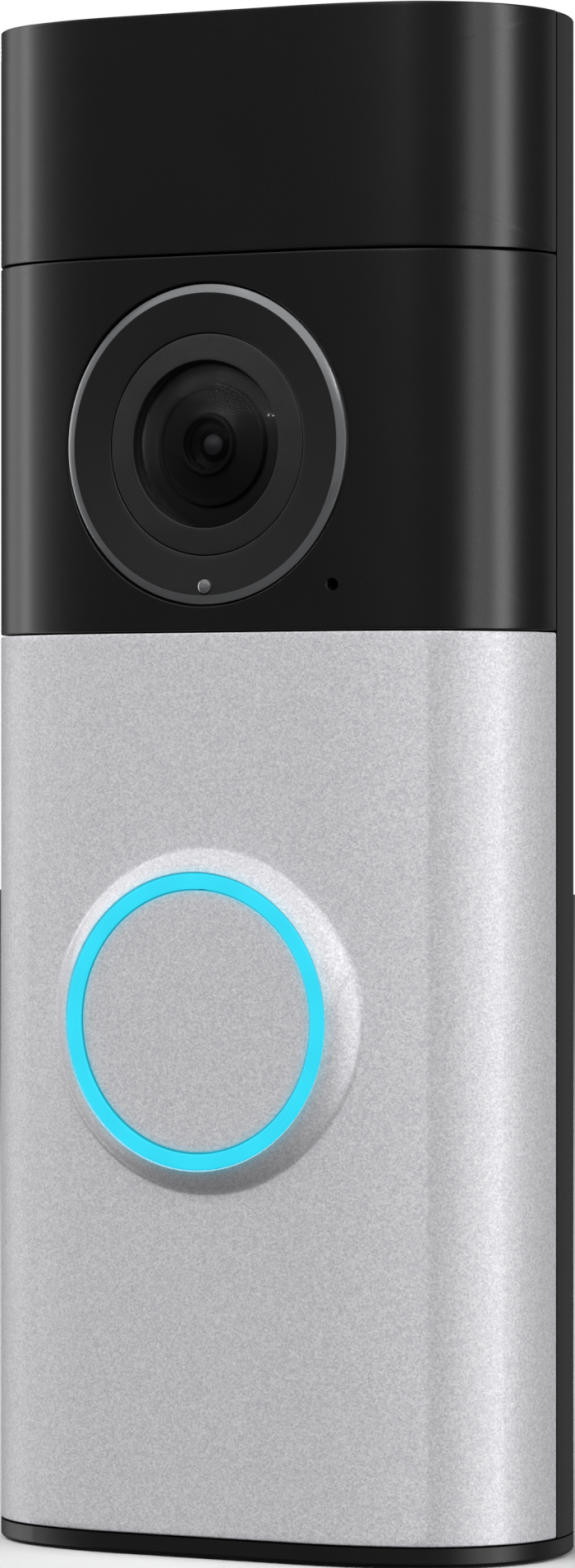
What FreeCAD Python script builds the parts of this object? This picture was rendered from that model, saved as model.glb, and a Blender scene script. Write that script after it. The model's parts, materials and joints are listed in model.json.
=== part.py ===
"""Slim hardwired video doorbell, built piece by piece. All sizes are in millimetres.

The origin is the centre of the flat back face, half way up. +Z is up, the front faces -Y and the
wall lies in the plane y = 0. A "depth" below is counted from the flat strip down the front, so
depth 0 is the front and depth `depth` is the wall.
"""
import FreeCAD, Part
import math
import os

V = FreeCAD.Vector

# ---- Whole body ------------------------------------------------------------------------------
height = 126.0
width = 50.4
depth = 24.0                 # wall to the flat strip down the front
front_flat_half = 8.3        # half width of that flat strip
front_radius = 27.6          # gentle curve from the flat strip outwards
corner_radius = 11.7         # tighter curve round to the widest line
back_half_width = 20.9       # half width where the body meets the wall

# ---- Outer pieces ----------------------------------------------------------------------------
seam_depth = 13.9            # front pieces meet the rear housing here
seam_gap = 0.15              # shadow gap between neighbouring outer pieces
top_cap_height = 19.8
camera_cover_height = 30.8
base_cap_thickness = 1.45
cover_wall = 1.6             # plastic front covers
faceplate_wall = 1.2         # metal faceplate
housing_wall = 1.8
housing_floor = 2.0
edge_round = 0.3             # softened outer edges

# ---- Camera ----------------------------------------------------------------------------------
camera_drop = 15.5           # below the top cap's seam
cover_opening_r = 13.4
bezel_gap = 0.33             # dark gap round the bezel
bezel_chamfer = 0.71
bezel_bore_r = 9.1
bezel_flange = 1.2           # how far the flange reaches past the opening
bezel_length = 2.4
trim_bore_r = 6.85
window_bulge = 0.8
window_thickness = 1.0
barrel_r = 5.0
barrel_front = 2.3
module_half = 6.5
module_front = 6.0
light_sensor_inset = 0.76    # from the bezel's chamfer in to the sensor's centre
sensor_window_r = 0.6
microphone_x = 11.85
microphone_drop = 11.6       # below the lens axis
microphone_hole_r = 0.5

# ---- Doorbell button -------------------------------------------------------------------------
button_drop = 31.72          # below the camera cover's seam
halo_outer_r = 12.04
halo_width = 1.24
collar_height = 1.63         # the glowing band stands this far out of the front
collar_spread = 2.21         # the collar's foot reaches this far past the band
diffuser_flange_reach = 1.36
diffuser_flange = 0.9        # its thickness
button_clearance = 0.12
button_recess = 0.2
button_travel = 0.5
button_stem_r = 1.4
halo_led_count = 12

# ---- Inside ----------------------------------------------------------------------------------
chassis_gap = 0.15
chassis_wall = 1.2
deck_depth = 9.4             # front of the deck that carries camera, switch and lights
board_thickness = 1.0
board_spacing = 2.4          # from the back of the deck to the main board
gasket_thickness = 0.8
ribbon_rise = 8.0            # above the button's axis
ribbon_thickness = 0.3
switch_half = 3.0
speaker_thickness = 4.2
speaker_length = 14.0
speaker_room = 1.6           # in front of the speaker and behind it
pocket_half_width = 11.0     # wiring pocket in the back
pocket_height = 18.0
pocket_depth = 5.8
terminal_x = 6.0
terminal_z = 1.0

# ---- Fastening -------------------------------------------------------------------------------
wall_screw_margin = 9.5      # wall screw holes, in from each end
wall_screw_hole_r = 2.1
well_r = 3.9                 # room for a screw head and a driver
well_wall = 1.2
boss_r = 2.3
small_shank_r = 1.0
small_head_r = 1.9
thread_clearance = 0.03
security_screw_depth = 7.0
contact = 0.05               # between pieces that are glued, clipped or screwed together

# ---- Places worked out from the sizes above --------------------------------------------------
z_top = height / 2
z_foot = -height / 2
cap_seam_z = z_top - top_cap_height
cover_seam_z = cap_seam_z - camera_cover_height
plate_foot_z = z_foot + base_cap_thickness + seam_gap
camera_z = cap_seam_z - camera_drop
button_z = cover_seam_z - button_drop
wall_screw_z = z_top - wall_screw_margin
chassis_inset = max(cover_wall, housing_wall) + chassis_gap
chassis_inner = chassis_inset + chassis_wall
chassis_top = cap_seam_z - 0.6
chassis_foot = -wall_screw_z + well_r + well_wall + 1.4
deck_back = deck_depth + chassis_wall
floor_depth = depth - housing_floor
main_board_depth = deck_back + board_spacing
speaker_front = deck_back + speaker_room
speaker_back = floor_depth - speaker_room
collar_base_r = halo_outer_r + collar_spread
diffuser_flange_r = halo_outer_r + diffuser_flange_reach
light_sensor_drop = cover_opening_r - bezel_gap - bezel_chamfer - light_sensor_inset
halo_inner_r = halo_outer_r - halo_width
microphone_z = camera_z - microphone_drop


# ---- Shapes used again and again -------------------------------------------------------------
def corner_angle():
    """Where the front curve hands over to the corner curve, both sharing a tangent."""
    return math.asin((width / 2 - front_flat_half - corner_radius) / (front_radius - corner_radius))


def corner_centre():
    reach = front_radius - corner_radius
    angle = corner_angle()
    return front_flat_half + reach * math.sin(angle), front_radius - reach * math.cos(angle)


def back_radius():
    """The back curve leaves the widest line squarely and ends at the wall."""
    across = width / 2 - back_half_width
    along = depth - corner_centre()[1]
    return (across ** 2 + along ** 2) / (2 * across)


def half_width(inset, at_depth):
    """Half width of the body at a depth, measured `inset` inside its skin."""
    centre_x, widest = corner_centre()
    if at_depth >= widest:
        radius = back_radius()
        return width / 2 - radius + math.sqrt((radius - inset) ** 2 - (at_depth - widest) ** 2)
    if at_depth >= widest - (corner_radius - inset) * math.cos(corner_angle()):
        return centre_x + math.sqrt((corner_radius - inset) ** 2 - (widest - at_depth) ** 2)
    reach = (front_radius - inset) ** 2 - (front_radius - at_depth) ** 2
    return front_flat_half + math.sqrt(reach)


def surface_depth(inset, x):
    """Depth of the front at a distance x from the middle, `inset` inside its skin."""
    centre_x, widest = corner_centre()
    beyond = max(0.0, abs(x) - front_flat_half)
    if beyond > (front_radius - inset) * math.sin(corner_angle()):
        return widest - math.sqrt((corner_radius - inset) ** 2 - (abs(x) - centre_x) ** 2)
    return front_radius - math.sqrt((front_radius - inset) ** 2 - beyond ** 2)


def point(x, at_depth, z=0.0):
    return V(x, at_depth - depth, z)


def section(inset, end_depth, z):
    """The body's cross-section as a face, `inset` inside its skin and closed at end_depth."""
    angle = corner_angle()
    centre_x, widest = corner_centre()
    big, small, back = front_radius - inset, corner_radius - inset, back_radius() - inset
    turn = math.asin((end_depth - widest) / back)

    def front(a):
        return front_flat_half + big * math.sin(a), front_radius - big * math.cos(a)

    def corner(a):
        return centre_x + small * math.sin(a), widest - small * math.cos(a)

    def rear(a):
        return width / 2 - back_radius() + back * math.cos(a), widest + back * math.sin(a)

    def arcs(side):
        chain = [
            (front(0), front(angle / 2), front(angle)),
            (front(angle), corner((angle + math.pi / 2) / 2), corner(math.pi / 2)),
            (corner(math.pi / 2), rear(turn / 2), rear(turn)),
        ]
        return [Part.Arc(*[point(side * x, t, z) for x, t in arc]).toShape() for arc in chain]

    front_x, front_t = front(0)
    rear_x, rear_t = rear(turn)
    edges = arcs(1) + arcs(-1)
    edges.append(Part.LineSegment(point(-front_x, front_t, z), point(front_x, front_t, z)).toShape())
    edges.append(Part.LineSegment(point(-rear_x, rear_t, z), point(rear_x, rear_t, z)).toShape())
    return Part.Face(Part.Wire(Part.__sortEdges__(edges)))


def block(x0, x1, t0, t1, z0, z1):
    return Part.makeBox(x1 - x0, t1 - t0, z1 - z0, point(x0, t0, z0))


def prism(inset, t0, t1, z0, z1):
    """The body's section carried from z0 to z1, kept between two depths."""
    closing = max(t1, corner_centre()[1] + 0.5)
    solid = section(inset, closing, z0).extrude(V(0, 0, z1 - z0))
    if t0 <= inset and closing == t1:
        return solid
    return solid.common(block(-width, width, t0, t1, z0 - 1, z1 + 1))


def disc(r, t0, t1, x, z):
    return Part.makeCylinder(r, t1 - t0, point(x, t0, z), V(0, 1, 0))


def annulus(outer, inner, t0, t1, x, z):
    return disc(outer, t0, t1, x, z).cut(disc(inner, t0 - 1, t1 + 1, x, z))


def post(r, z0, z1, x, at_depth):
    return Part.makeCylinder(r, z1 - z0, point(x, at_depth, z0), V(0, 0, 1))


def lathe(outline, z):
    """Turn an outline of (radius, depth) points about the axis along Y at height z."""
    corners = [point(r, t) for r, t in outline]
    face = Part.Face(Part.makePolygon(corners + corners[:1]))
    turned = face.revolve(V(0, 0, 0), V(0, 1, 0), 360)
    turned.translate(V(0, 0, z))
    return turned


def dome(r, edge_depth, bulge, thickness, z):
    """A shallow glass dome: two equal arcs, one behind the other, turned about the Y axis."""
    ball = (r ** 2 + bulge ** 2) / (2 * bulge)
    half = math.asin(r / ball) / 2
    middle = (ball * math.sin(half), edge_depth - bulge + ball * (1 - math.cos(half)))

    def arc(back):
        ends = [(0, edge_depth - bulge), middle, (r, edge_depth)]
        return Part.Arc(*[point(x, t + back) for x, t in ends]).toShape()

    rim = Part.LineSegment(point(r, edge_depth), point(r, edge_depth + thickness)).toShape()
    axis = Part.LineSegment(point(0, edge_depth - bulge), point(0, edge_depth - bulge + thickness))
    wire = Part.Wire(Part.__sortEdges__([arc(0), rim, arc(thickness), axis.toShape()]))
    turned = Part.Face(wire).revolve(V(0, 0, 0), V(0, 1, 0), 360)
    turned.translate(V(0, 0, z))
    return turned


def polar(r, degrees, z):
    """A place on a circle about the Y axis at height z."""
    return r * math.sin(math.radians(degrees)), z + r * math.cos(math.radians(degrees))


def fuse(first, *others):
    return first.fuse(list(others)).removeSplitter()


def soften(solid, z, radius):
    """Round the edges of the body's own outline that lie in the plane z."""
    outline_radii = (front_radius, corner_radius, back_radius())

    def on_outline(edge):
        box = edge.BoundBox
        if abs(box.ZMin - z) > 1e-6 or abs(box.ZMax - z) > 1e-6:
            return False
        if isinstance(edge.Curve, Part.Circle):
            return min(abs(edge.Curve.Radius - r) for r in outline_radii) < 1e-4
        return box.YMax < -depth + 1e-6

    return solid.makeFillet(radius, [edge for edge in solid.Edges if on_outline(edge)])


def screw(x, z, head_depth, tip_depth, head_r, shank_r, head_height, inward):
    """A pan-head screw along Y. inward is 1 when it is driven towards the wall, else -1."""
    head_end = head_depth - inward * head_height
    low, high = min(head_depth, head_end), max(head_depth, head_end)
    head = disc(head_r, low, high, x, z)
    shank = disc(shank_r, min(head_depth, tip_depth), max(head_depth, tip_depth), x, z)
    slot_low = low - 1 if inward == 1 else high - head_height / 2
    recess = disc(head_r * 0.45, slot_low, slot_low + head_height / 2 + 1, x, z)
    return fuse(head, shank).cut(recess)


# ---- Rear housing and its ends ---------------------------------------------------------------
def chassis_screw_x():
    return half_width(chassis_inner, floor_depth) - boss_r - 0.4


def chassis_screw_places():
    levels = (chassis_foot + chassis_wall + boss_r + 0.3, cover_seam_z - 3.5)
    return [(side * chassis_screw_x(), z) for side in (-1, 1) for z in levels]


def speaker_z():
    return chassis_foot + chassis_wall + 2 * boss_r + 0.7 + speaker_length / 2


def base_screw_places():
    return [(side * (well_r + well_wall + boss_r + 0.6), depth - 5.8) for side in (-1, 1)]


def wiring_pocket(grow, t0, t1):
    reach = pocket_half_width + grow
    half = pocket_height / 2 + grow
    return block(-reach, reach, t0, t1, terminal_z - half, terminal_z + half)


def rear_housing():
    top, foot = z_top, plate_foot_z
    start = seam_depth + seam_gap / 2
    outer = prism(0, start, depth, foot, top)
    hollow = prism(housing_wall, start - 1, floor_depth, foot + housing_wall, top - housing_wall)
    tub = outer.cut(hollow)
    pocket_front = depth - pocket_depth
    tub = tub.fuse(wiring_pocket(housing_wall, pocket_front - housing_wall, depth - 0.5))
    tub = tub.cut(wiring_pocket(0, pocket_front, depth + 1))
    for z in (-wall_screw_z, wall_screw_z):
        tub = tub.fuse(disc(well_r + well_wall, start + 0.6, depth - 0.5, 0, z))
        tub = tub.cut(disc(well_r, start - 1, floor_depth - 0.4, 0, z))
        tub = tub.cut(disc(wall_screw_hole_r, floor_depth - 1, depth + 1, 0, z))
    for x, z in chassis_screw_places():
        tub = tub.fuse(disc(boss_r, deck_back + contact, depth - 0.5, x, z))
        tub = tub.cut(disc(small_shank_r + thread_clearance, deck_back - 1, deck_back + 7, x, z))
    for x, t in base_screw_places():
        tub = tub.fuse(post(boss_r - 0.3, foot + 0.5, foot + 6, x, t))
        tub = tub.cut(post(small_shank_r + thread_clearance, foot - 1, foot + 5, x, t))
    for side in (-1, 1):
        x = side * terminal_x
        tub = tub.cut(disc(3 + contact, pocket_front - 3, pocket_front + 1, x, terminal_z))
    for step in range(5):
        z = speaker_z() + (step - 2) * 2.4
        tub = tub.cut(block(-width, -half_width(3.2, 20.5), 15.6, 20.5, z - 0.5, z + 0.5))
    return soften(tub.removeSplitter(), top, edge_round)


def base_cap():
    top = z_foot + base_cap_thickness
    plate = prism(0, 0, depth, z_foot, top)
    plate = plate.fuse(post(3.2, top - 0.5, top + 3.5, 0, security_screw_depth))
    plate = plate.cut(post(security_shank_r + thread_clearance, z_foot - 1, top + 5, 0,
                           security_screw_depth))
    plate = plate.cut(post(security_head_r + 0.1, z_foot - 1, z_foot + security_head_height, 0,
                           security_screw_depth))
    for x, t in base_screw_places():
        plate = plate.cut(post(small_shank_r + 0.1, z_foot - 1, top + 1, x, t))
        plate = plate.cut(post(small_head_r + 0.1, z_foot - 1, z_foot + 0.9, x, t))
    return soften(plate.removeSplitter(), z_foot, edge_round)


def base_screws():
    solids = []
    for x, t in base_screw_places():
        head = post(small_head_r, z_foot + 0.1, z_foot + 0.9, x, t)
        shank = post(small_shank_r, z_foot + 0.5, plate_foot_z + 4.5, x, t)
        recess = post(small_head_r * 0.45, z_foot - 1, z_foot + 0.5, x, t)
        solids.append(fuse(head, shank).cut(recess))
    return Part.makeCompound(solids)


security_head_r = 2.2
security_shank_r = 1.25
security_head_height = 1.3


def security_screw():
    """Star-drive screw that goes up through the base cap into the faceplate's tab."""
    t = security_screw_depth
    head = post(security_head_r, z_foot, z_foot + security_head_height - contact, 0, t)
    shank = post(security_shank_r, z_foot + 0.6, plate_foot_z + 5.4, 0, t)
    recess = post(1.0, z_foot - 1, z_foot + 0.7, 0, t)
    points = [block(-0.35, 0.35, t - 1.35, t + 1.35, z_foot - 1, z_foot + 0.7)]
    for turn in (60, 120):
        arm = points[0].copy()
        arm.rotate(point(0, t, 0), V(0, 0, 1), turn)
        points.append(arm)
    return fuse(head, shank).cut(recess.fuse(points))


# ---- Front pieces ----------------------------------------------------------------------------
def front_shell(wall, foot, top, open_foot, open_top):
    """A cover of even wall, closed at both ends. An open end lets the deck run on behind it."""
    back = seam_depth - seam_gap / 2
    shell = prism(0, 0, back, foot, top)
    shell = shell.cut(prism(wall, wall, back + 1, foot + wall, top - wall))
    clear = deck_depth - 0.4
    if open_foot:
        shell = shell.cut(prism(wall, clear, back + 1, foot - 1, foot + wall + 0.5))
    if open_top:
        shell = shell.cut(prism(wall, clear, back + 1, top - wall - 0.5, top + 1))
    return shell


def tongue(x, root_z, inward):
    """A guide that slides under the housing's end wall. inward is +1 up or -1 down."""
    gap = housing_wall + 0.25
    z0, z1 = sorted((root_z + inward * gap, root_z + inward * (gap + 1.2)))
    blade = block(x - 2, x + 2, seam_depth - 3.5, seam_depth + 3.2, z0, z1)
    z0, z1 = sorted((root_z + inward * 0.5, root_z + inward * (gap + 0.2)))
    root = block(x - 2, x + 2, seam_depth - 3.5, seam_depth - seam_gap, z0, z1)
    return blade.fuse(root)


def top_cap():
    foot = cap_seam_z + seam_gap / 2
    shell = front_shell(cover_wall, foot, z_top, True, False)
    shell = soften(shell, z_top, edge_round)
    return fuse(shell, tongue(-9, z_top, -1), tongue(9, z_top, -1))


def cover_screw_places():
    x = half_width(cover_wall, 5.0) - small_head_r - 0.3
    return [(side * x, cap_seam_z - 4.2) for side in (-1, 1)]


def cover_rib(side):
    """A rib in a lower corner that stands the camera cover on the deck."""
    wall = half_width(cover_wall, 7.0)
    x0, x1 = sorted((side * (wall - 1.6), side * (wall + 0.3)))
    z = cover_seam_z + 4.2
    return block(x0, x1, 6.0, deck_depth - contact, z - 2, z + 2)


def camera_cover():
    foot, top = cover_seam_z + seam_gap / 2, cap_seam_z - seam_gap / 2
    shell = front_shell(cover_wall, foot, top, True, True)
    for x, z in cover_screw_places():
        front = surface_depth(cover_wall, x)
        pillar = disc(small_head_r, front - 0.3, deck_depth - contact, x, z)
        pillar = pillar.cut(disc(small_shank_r + thread_clearance, front + 1.2, deck_depth + 1, x, z))
        shell = shell.fuse(pillar)
    shell = shell.fuse(cover_rib(-1)).fuse(cover_rib(1))
    shell = shell.cut(disc(cover_opening_r, -1, 5, 0, camera_z))
    flange_r = cover_opening_r + bezel_flange + 0.2
    shell = shell.cut(disc(flange_r, bezel_length - 0.9, deck_depth, 0, camera_z))
    shell = shell.cut(disc(microphone_hole_r, -1, 5, microphone_x, microphone_z))
    return shell.removeSplitter()


def collar():
    """Conical collar that carries the glowing band; its flank runs on down into the curve."""
    slope = (collar_base_r - halo_outer_r - 0.12) / collar_height
    sink = surface_depth(0, collar_base_r) + 0.3
    bore = halo_outer_r + contact
    outline = [(bore, -collar_height), (halo_outer_r + 0.12, -collar_height),
               (collar_base_r + slope * sink, sink), (bore, sink)]
    return lathe(outline, button_z)


def security_tab():
    """Shelf inside the faceplate's foot. Its notch opens backwards round the screw."""
    t = security_screw_depth
    low = plate_foot_z + 3.8
    shelf = block(-5, 5, faceplate_wall - 0.4, t + 3, low, low + 1.2)
    notch = post(security_shank_r + 0.25, low - 1, low + 3, 0, t)
    way = block(-security_shank_r - 0.25, security_shank_r + 0.25, t, t + 5, low - 1, low + 3)
    return shelf.cut(notch.fuse(way))


def faceplate():
    foot, top = plate_foot_z, cover_seam_z - seam_gap / 2
    shell = front_shell(faceplate_wall, foot, top, False, True)
    shell = soften(shell, foot, edge_round)
    shell = shell.fuse(collar())
    shell = shell.cut(disc(halo_outer_r + contact, -5, 5, 0, button_z))
    shell = shell.cut(disc(diffuser_flange_r + 0.2, faceplate_wall, deck_depth, 0, button_z))
    boss_room = post(3.4, foot - 1, foot + 2.5, 0, security_screw_depth)
    way = block(-3.4, 3.4, security_screw_depth, seam_depth + 1, foot - 1, foot + 2.5)
    shell = shell.cut(boss_room.fuse(way))
    side = half_width(faceplate_wall, seam_depth - 3.5) - 6.5
    return fuse(shell, security_tab(), tongue(-side, foot, 1), tongue(side, foot, 1))


# ---- Button, its light and its switch --------------------------------------------------------
flange_back = faceplate_wall + contact + diffuser_flange
button_face = -collar_height + button_recess
button_tab_front = flange_back + 0.1
button_tab_back = button_tab_front + 0.8
guide_front = button_tab_back + button_travel + 0.25
halo_board_front = deck_depth - board_thickness
led_height = 0.8
switch_front = halo_board_front - 3.4
plunger_r = 1.6
plunger_reach = button_travel + 0.2
switch_bore_depth = 1.8


def halo_diffuser():
    front, back = faceplate_wall + contact, flange_back
    lip = 0.15
    outline = [(halo_inner_r, back), (halo_inner_r, -collar_height + lip),
               (halo_inner_r + lip, -collar_height), (halo_outer_r - lip, -collar_height),
               (halo_outer_r, -collar_height + lip), (halo_outer_r, front),
               (diffuser_flange_r, front), (diffuser_flange_r, back)]
    return lathe(outline, button_z)


def button_cap():
    """Cup with a central stem; three tabs hook behind the glowing band."""
    r, lip = halo_inner_r - button_clearance, 0.2
    skin, wall = 1.5, 1.0
    outline = [(0, button_face), (r - lip, button_face), (r, button_face + lip),
               (r, button_tab_back), (r - wall, button_tab_back), (r - wall, button_face + skin),
               (0, button_face + skin)]
    cap = lathe(outline, button_z)
    stem_end = switch_front - plunger_reach - 0.1
    cap = cap.fuse(disc(button_stem_r, button_face + skin - 0.3, stem_end, 0, button_z))
    tab = block(-2, 2, button_tab_front, button_tab_back, r - wall - 0.2, halo_outer_r - 0.3)
    for turn in (60, 180, 300):
        arm = tab.copy()
        arm.rotate(V(0, 0, 0), V(0, 1, 0), turn)
        arm.translate(V(0, 0, button_z))
        cap = cap.fuse(arm)
    for turn in (0, 90):
        rib_reach = r - wall + 0.2
        rib = block(-rib_reach, rib_reach, button_face + skin - 0.2, button_face + skin + 1.2, -0.5, 0.5)
        rib.rotate(V(0, 0, 0), V(0, 1, 0), turn)
        rib.translate(V(0, 0, button_z))
        cap = cap.fuse(rib)
    return cap.removeSplitter()


def light_guide():
    """Clear band that carries the light forward from the lamps; its legs stand on the board."""
    back = halo_board_front - led_height - 0.1
    guide = annulus(halo_outer_r, halo_inner_r, guide_front, back, 0, button_z)
    for turn in (15, 135, 255):
        x, z = polar((halo_outer_r + halo_inner_r) / 2, turn, button_z)
        guide = guide.fuse(disc(halo_width / 2 - contact, back - 0.5, halo_board_front, x, z))
    return guide.removeSplitter()


def halo_leds():
    lamp_r = (halo_outer_r + halo_inner_r) / 2
    lamp = block(-1.0, 1.0, halo_board_front - led_height, halo_board_front,
                 lamp_r - 0.5, lamp_r + 0.5)
    lamps = []
    for step in range(halo_led_count):
        copy = lamp.copy()
        copy.rotate(V(0, 0, 0), V(0, 1, 0), step * 360 / halo_led_count)
        copy.translate(V(0, 0, button_z))
        lamps.append(copy)
    return Part.makeCompound(lamps)


def halo_board():
    board = disc(diffuser_flange_r - 0.2, halo_board_front, deck_depth, 0, button_z)
    return board.cut(ribbon_strip(0))


def tactile_switch():
    body = block(-switch_half, switch_half, switch_front, halo_board_front,
                 button_z - switch_half, button_z + switch_half)
    bore = disc(plunger_r + 0.05, switch_front - 1, switch_front + switch_bore_depth, 0, button_z)
    return body.cut(bore)


def switch_plunger():
    front = switch_front - plunger_reach
    return disc(plunger_r, front, switch_front + switch_bore_depth - button_travel - 0.1, 0, button_z)


# ---- Camera and microphone -------------------------------------------------------------------
def lens_bezel():
    """Dark glass-like disc with a bright chamfer, flush with the front and flanged behind."""
    rim = cover_opening_r - bezel_gap
    flange_front = bezel_length - 0.9 + contact
    outline = [(bezel_bore_r, 0), (rim - bezel_chamfer, 0), (rim, bezel_chamfer * 0.6),
               (rim, flange_front), (cover_opening_r + bezel_flange, flange_front),
               (cover_opening_r + bezel_flange, bezel_length), (bezel_bore_r, bezel_length)]
    face = lathe(outline, camera_z)
    return face.cut(disc(sensor_window_r + contact, -1, 5, 0, camera_z - light_sensor_drop))


def lens_trim():
    outline = [(trim_bore_r, 0.15), (bezel_bore_r - contact, 0.15),
               (bezel_bore_r - contact, bezel_length + 0.6), (trim_bore_r - 1.2, bezel_length + 0.6),
               (trim_bore_r - 1.2, 1.75), (trim_bore_r, 1.75)]
    return lathe(outline, camera_z)


def lens_window():
    return dome(trim_bore_r - contact, 1.75 - contact - window_thickness, window_bulge + 0.7,
                window_thickness, camera_z)


def lens_barrel():
    outline = [(2.55, barrel_front + 0.5), (2.55, barrel_front - 0.2), (3.1, barrel_front),
               (4.6, barrel_front + 0.5), (barrel_r, barrel_front + 0.1),
               (barrel_r, module_front), (2.0, module_front), (2.0, barrel_front + 0.5)]
    return lathe(outline, camera_z)


def front_element():
    return dome(2.5, barrel_front + 0.45 - 0.9, 0.6, 0.9, camera_z)


def camera_module():
    z0, z1 = camera_z - module_half, camera_z + module_half
    return block(-module_half, module_half, module_front, deck_back + 0.4, z0, z1)


def camera_board():
    front = deck_back + 0.4
    reach = main_board_half() - 0.5
    low, high = camera_z - 10, camera_z + module_half + 0.3
    return block(-reach, reach, front, front + board_thickness, low, high)


illuminator_front = bezel_length + 2.0
illuminator_r = cover_opening_r - 0.8


def illuminator_board():
    return annulus(illuminator_r, barrel_r + 2.2, illuminator_front, illuminator_front + 0.8,
                   0, camera_z)


def infrared_leds():
    lamp = block(-1.4, 1.4, bezel_length + 0.3, illuminator_front,
                 bezel_bore_r + 0.2, illuminator_r - 0.6)
    lamps = []
    for turn in (45, 135, 225, 315):
        copy = lamp.copy()
        copy.rotate(V(0, 0, 0), V(0, 1, 0), turn)
        copy.translate(V(0, 0, camera_z))
        lamps.append(copy)
    return Part.makeCompound(lamps)


def sensor_window():
    z = camera_z - light_sensor_drop
    bead = dome(sensor_window_r, 0.1, 0.25, 0.5, z)
    return fuse(bead, disc(sensor_window_r, 0.3, bezel_length, 0, z))


def light_sensor():
    z = camera_z - light_sensor_drop
    return block(-1, 1, illuminator_front - 0.7, illuminator_front, z - 1, z + 1)


def microphone_boot():
    front = surface_depth(cover_wall, microphone_x + 1.8) + contact
    return annulus(1.8, 0.55, front, 3.4, microphone_x, microphone_z)


def microphone():
    x, z = microphone_x, microphone_z
    return block(x - 1.8, x + 1.8, 3.4, 4.4, z - 1.4, z + 1.4)


def microphone_board():
    x, z = microphone_x, microphone_z
    return block(x - 2.9, x + 2.6, 4.4, 5.2, z - 2, z + 2.5)


# ---- Chassis and electronics -----------------------------------------------------------------
def main_board_half():
    return chassis_screw_x() - boss_r - 0.4


def main_board_foot():
    return speaker_z() + speaker_length / 2 + 1.0


def main_board_top():
    return chassis_top - chassis_wall - 2.0


def board_screw_places():
    x = main_board_half() - 2.2
    levels = (main_board_foot() + 2.4, main_board_top() - 2.4)
    return [(side * x, z) for side in (-1, 1) for z in levels]


def chassis():
    """Inner tray: a deck in front, side walls down to the gasket and posts for the boards."""
    foot, top, back = chassis_foot, chassis_top, floor_depth - gasket_thickness
    tray = prism(chassis_inset, deck_depth, back, foot, top)
    tray = tray.cut(prism(chassis_inner, deck_back, back + 1, foot + chassis_wall, top - chassis_wall))
    reach = module_half + 0.4
    tray = tray.cut(block(-reach, reach, deck_depth - 1, deck_back + 1,
                          camera_z - reach, camera_z + reach))
    tray = tray.cut(ribbon_strip(0.25))
    for x, z in chassis_screw_places() + cover_screw_places():
        tray = tray.cut(disc(small_shank_r + 0.1, deck_depth - 1, deck_back + 1, x, z))
    for x, z in board_screw_places():
        tray = tray.fuse(disc(1.9, deck_back - 0.3, main_board_depth, x, z))
        tray = tray.cut(disc(small_shank_r + thread_clearance, deck_depth + 0.4,
                             main_board_depth + 1, x, z))
    for turn in (60, 180, 300):
        x, z = polar(illuminator_r - 1.4, turn, camera_z)
        tray = tray.fuse(disc(1.0, illuminator_front + 0.8, deck_depth + 0.3, x, z))
    tray = tray.fuse(disc(1.5, 5.2, deck_depth + 0.3, microphone_x, microphone_z))
    cradle_x, half = speaker_face(), speaker_length / 2
    tray = tray.fuse(block(cradle_x, cradle_x + speaker_thickness, deck_back - 0.3, speaker_front,
                           speaker_z() - half, speaker_z() + half))
    window = block(-width, speaker_face() - 0.3, speaker_front + 0.2, speaker_back,
                   speaker_z() - 6, speaker_z() + 6)
    return tray.cut(window).removeSplitter()


def housing_gasket():
    front = floor_depth - gasket_thickness
    foot, top = chassis_foot, chassis_top
    pad = prism(chassis_inset, front, floor_depth, foot, top)
    return pad.cut(prism(chassis_inner, front - 1, floor_depth + 0.01,
                         foot + chassis_wall, top - chassis_wall))


def main_board():
    reach = main_board_half()
    board = block(-reach, reach, main_board_depth, main_board_depth + board_thickness,
                  main_board_foot(), main_board_top())
    for x, z in board_screw_places():
        board = board.cut(disc(small_shank_r + 0.1, main_board_depth - 1, main_board_depth + 3, x, z))
    return board


board_back = main_board_depth + board_thickness


def processor_shield():
    """Shielding can over the processor, between the wiring pocket and the top board screws."""
    low = terminal_z + pocket_height / 2 + housing_wall + 1
    high = main_board_top() - 5.5
    half = main_board_half() - 4.3
    can = block(-half, half, board_back, board_back + 2.2, low, high)
    return can.makeFillet(0.5, [e for e in can.Edges if e.BoundBox.YLength > 2])


def radio_shield():
    high = terminal_z - pocket_height / 2 - housing_wall - 1
    left = 0.6 - main_board_half()
    can = block(left, left + 8.5, board_back, board_back + 1.8, main_board_foot() + 5.2, high)
    return can.makeFillet(0.5, [e for e in can.Edges if e.BoundBox.YLength > 1.5])


def power_capacitor():
    z = (main_board_foot() + terminal_z - pocket_height / 2 - housing_wall) / 2 + 1.8
    can = disc(2.9, board_back, board_back + 5.6, main_board_half() - 3.5, z)
    return can.makeFillet(0.4, [e for e in can.Edges if e.BoundBox.YLength < 0.01])


def board_connector():
    front = deck_back + 0.4 + board_thickness
    z = camera_z - 8
    return block(-5, 5, front, main_board_depth, z - 1.2, z + 1.2)


def ribbon_strip(room):
    """The flat ribbon from the lamp board back to the main board, or the slot it passes."""
    z, half = button_z + ribbon_rise, ribbon_thickness / 2 + room
    return block(-3 - room, 3 + room, halo_board_front + 0.3, main_board_depth, z - half, z + half)


def button_ribbon():
    return ribbon_strip(0)


def antenna():
    z = chassis_top - 3
    strip = block(-11, 11, deck_depth - 0.3, deck_depth, z - 1.8, z + 1.8)
    slot = block(-8, 11.5, deck_depth - 1, deck_depth + 1, z - 0.4, z + 0.4)
    return strip.cut(slot)


def speaker_face():
    return -half_width(chassis_inner, speaker_back) + 0.9


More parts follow.
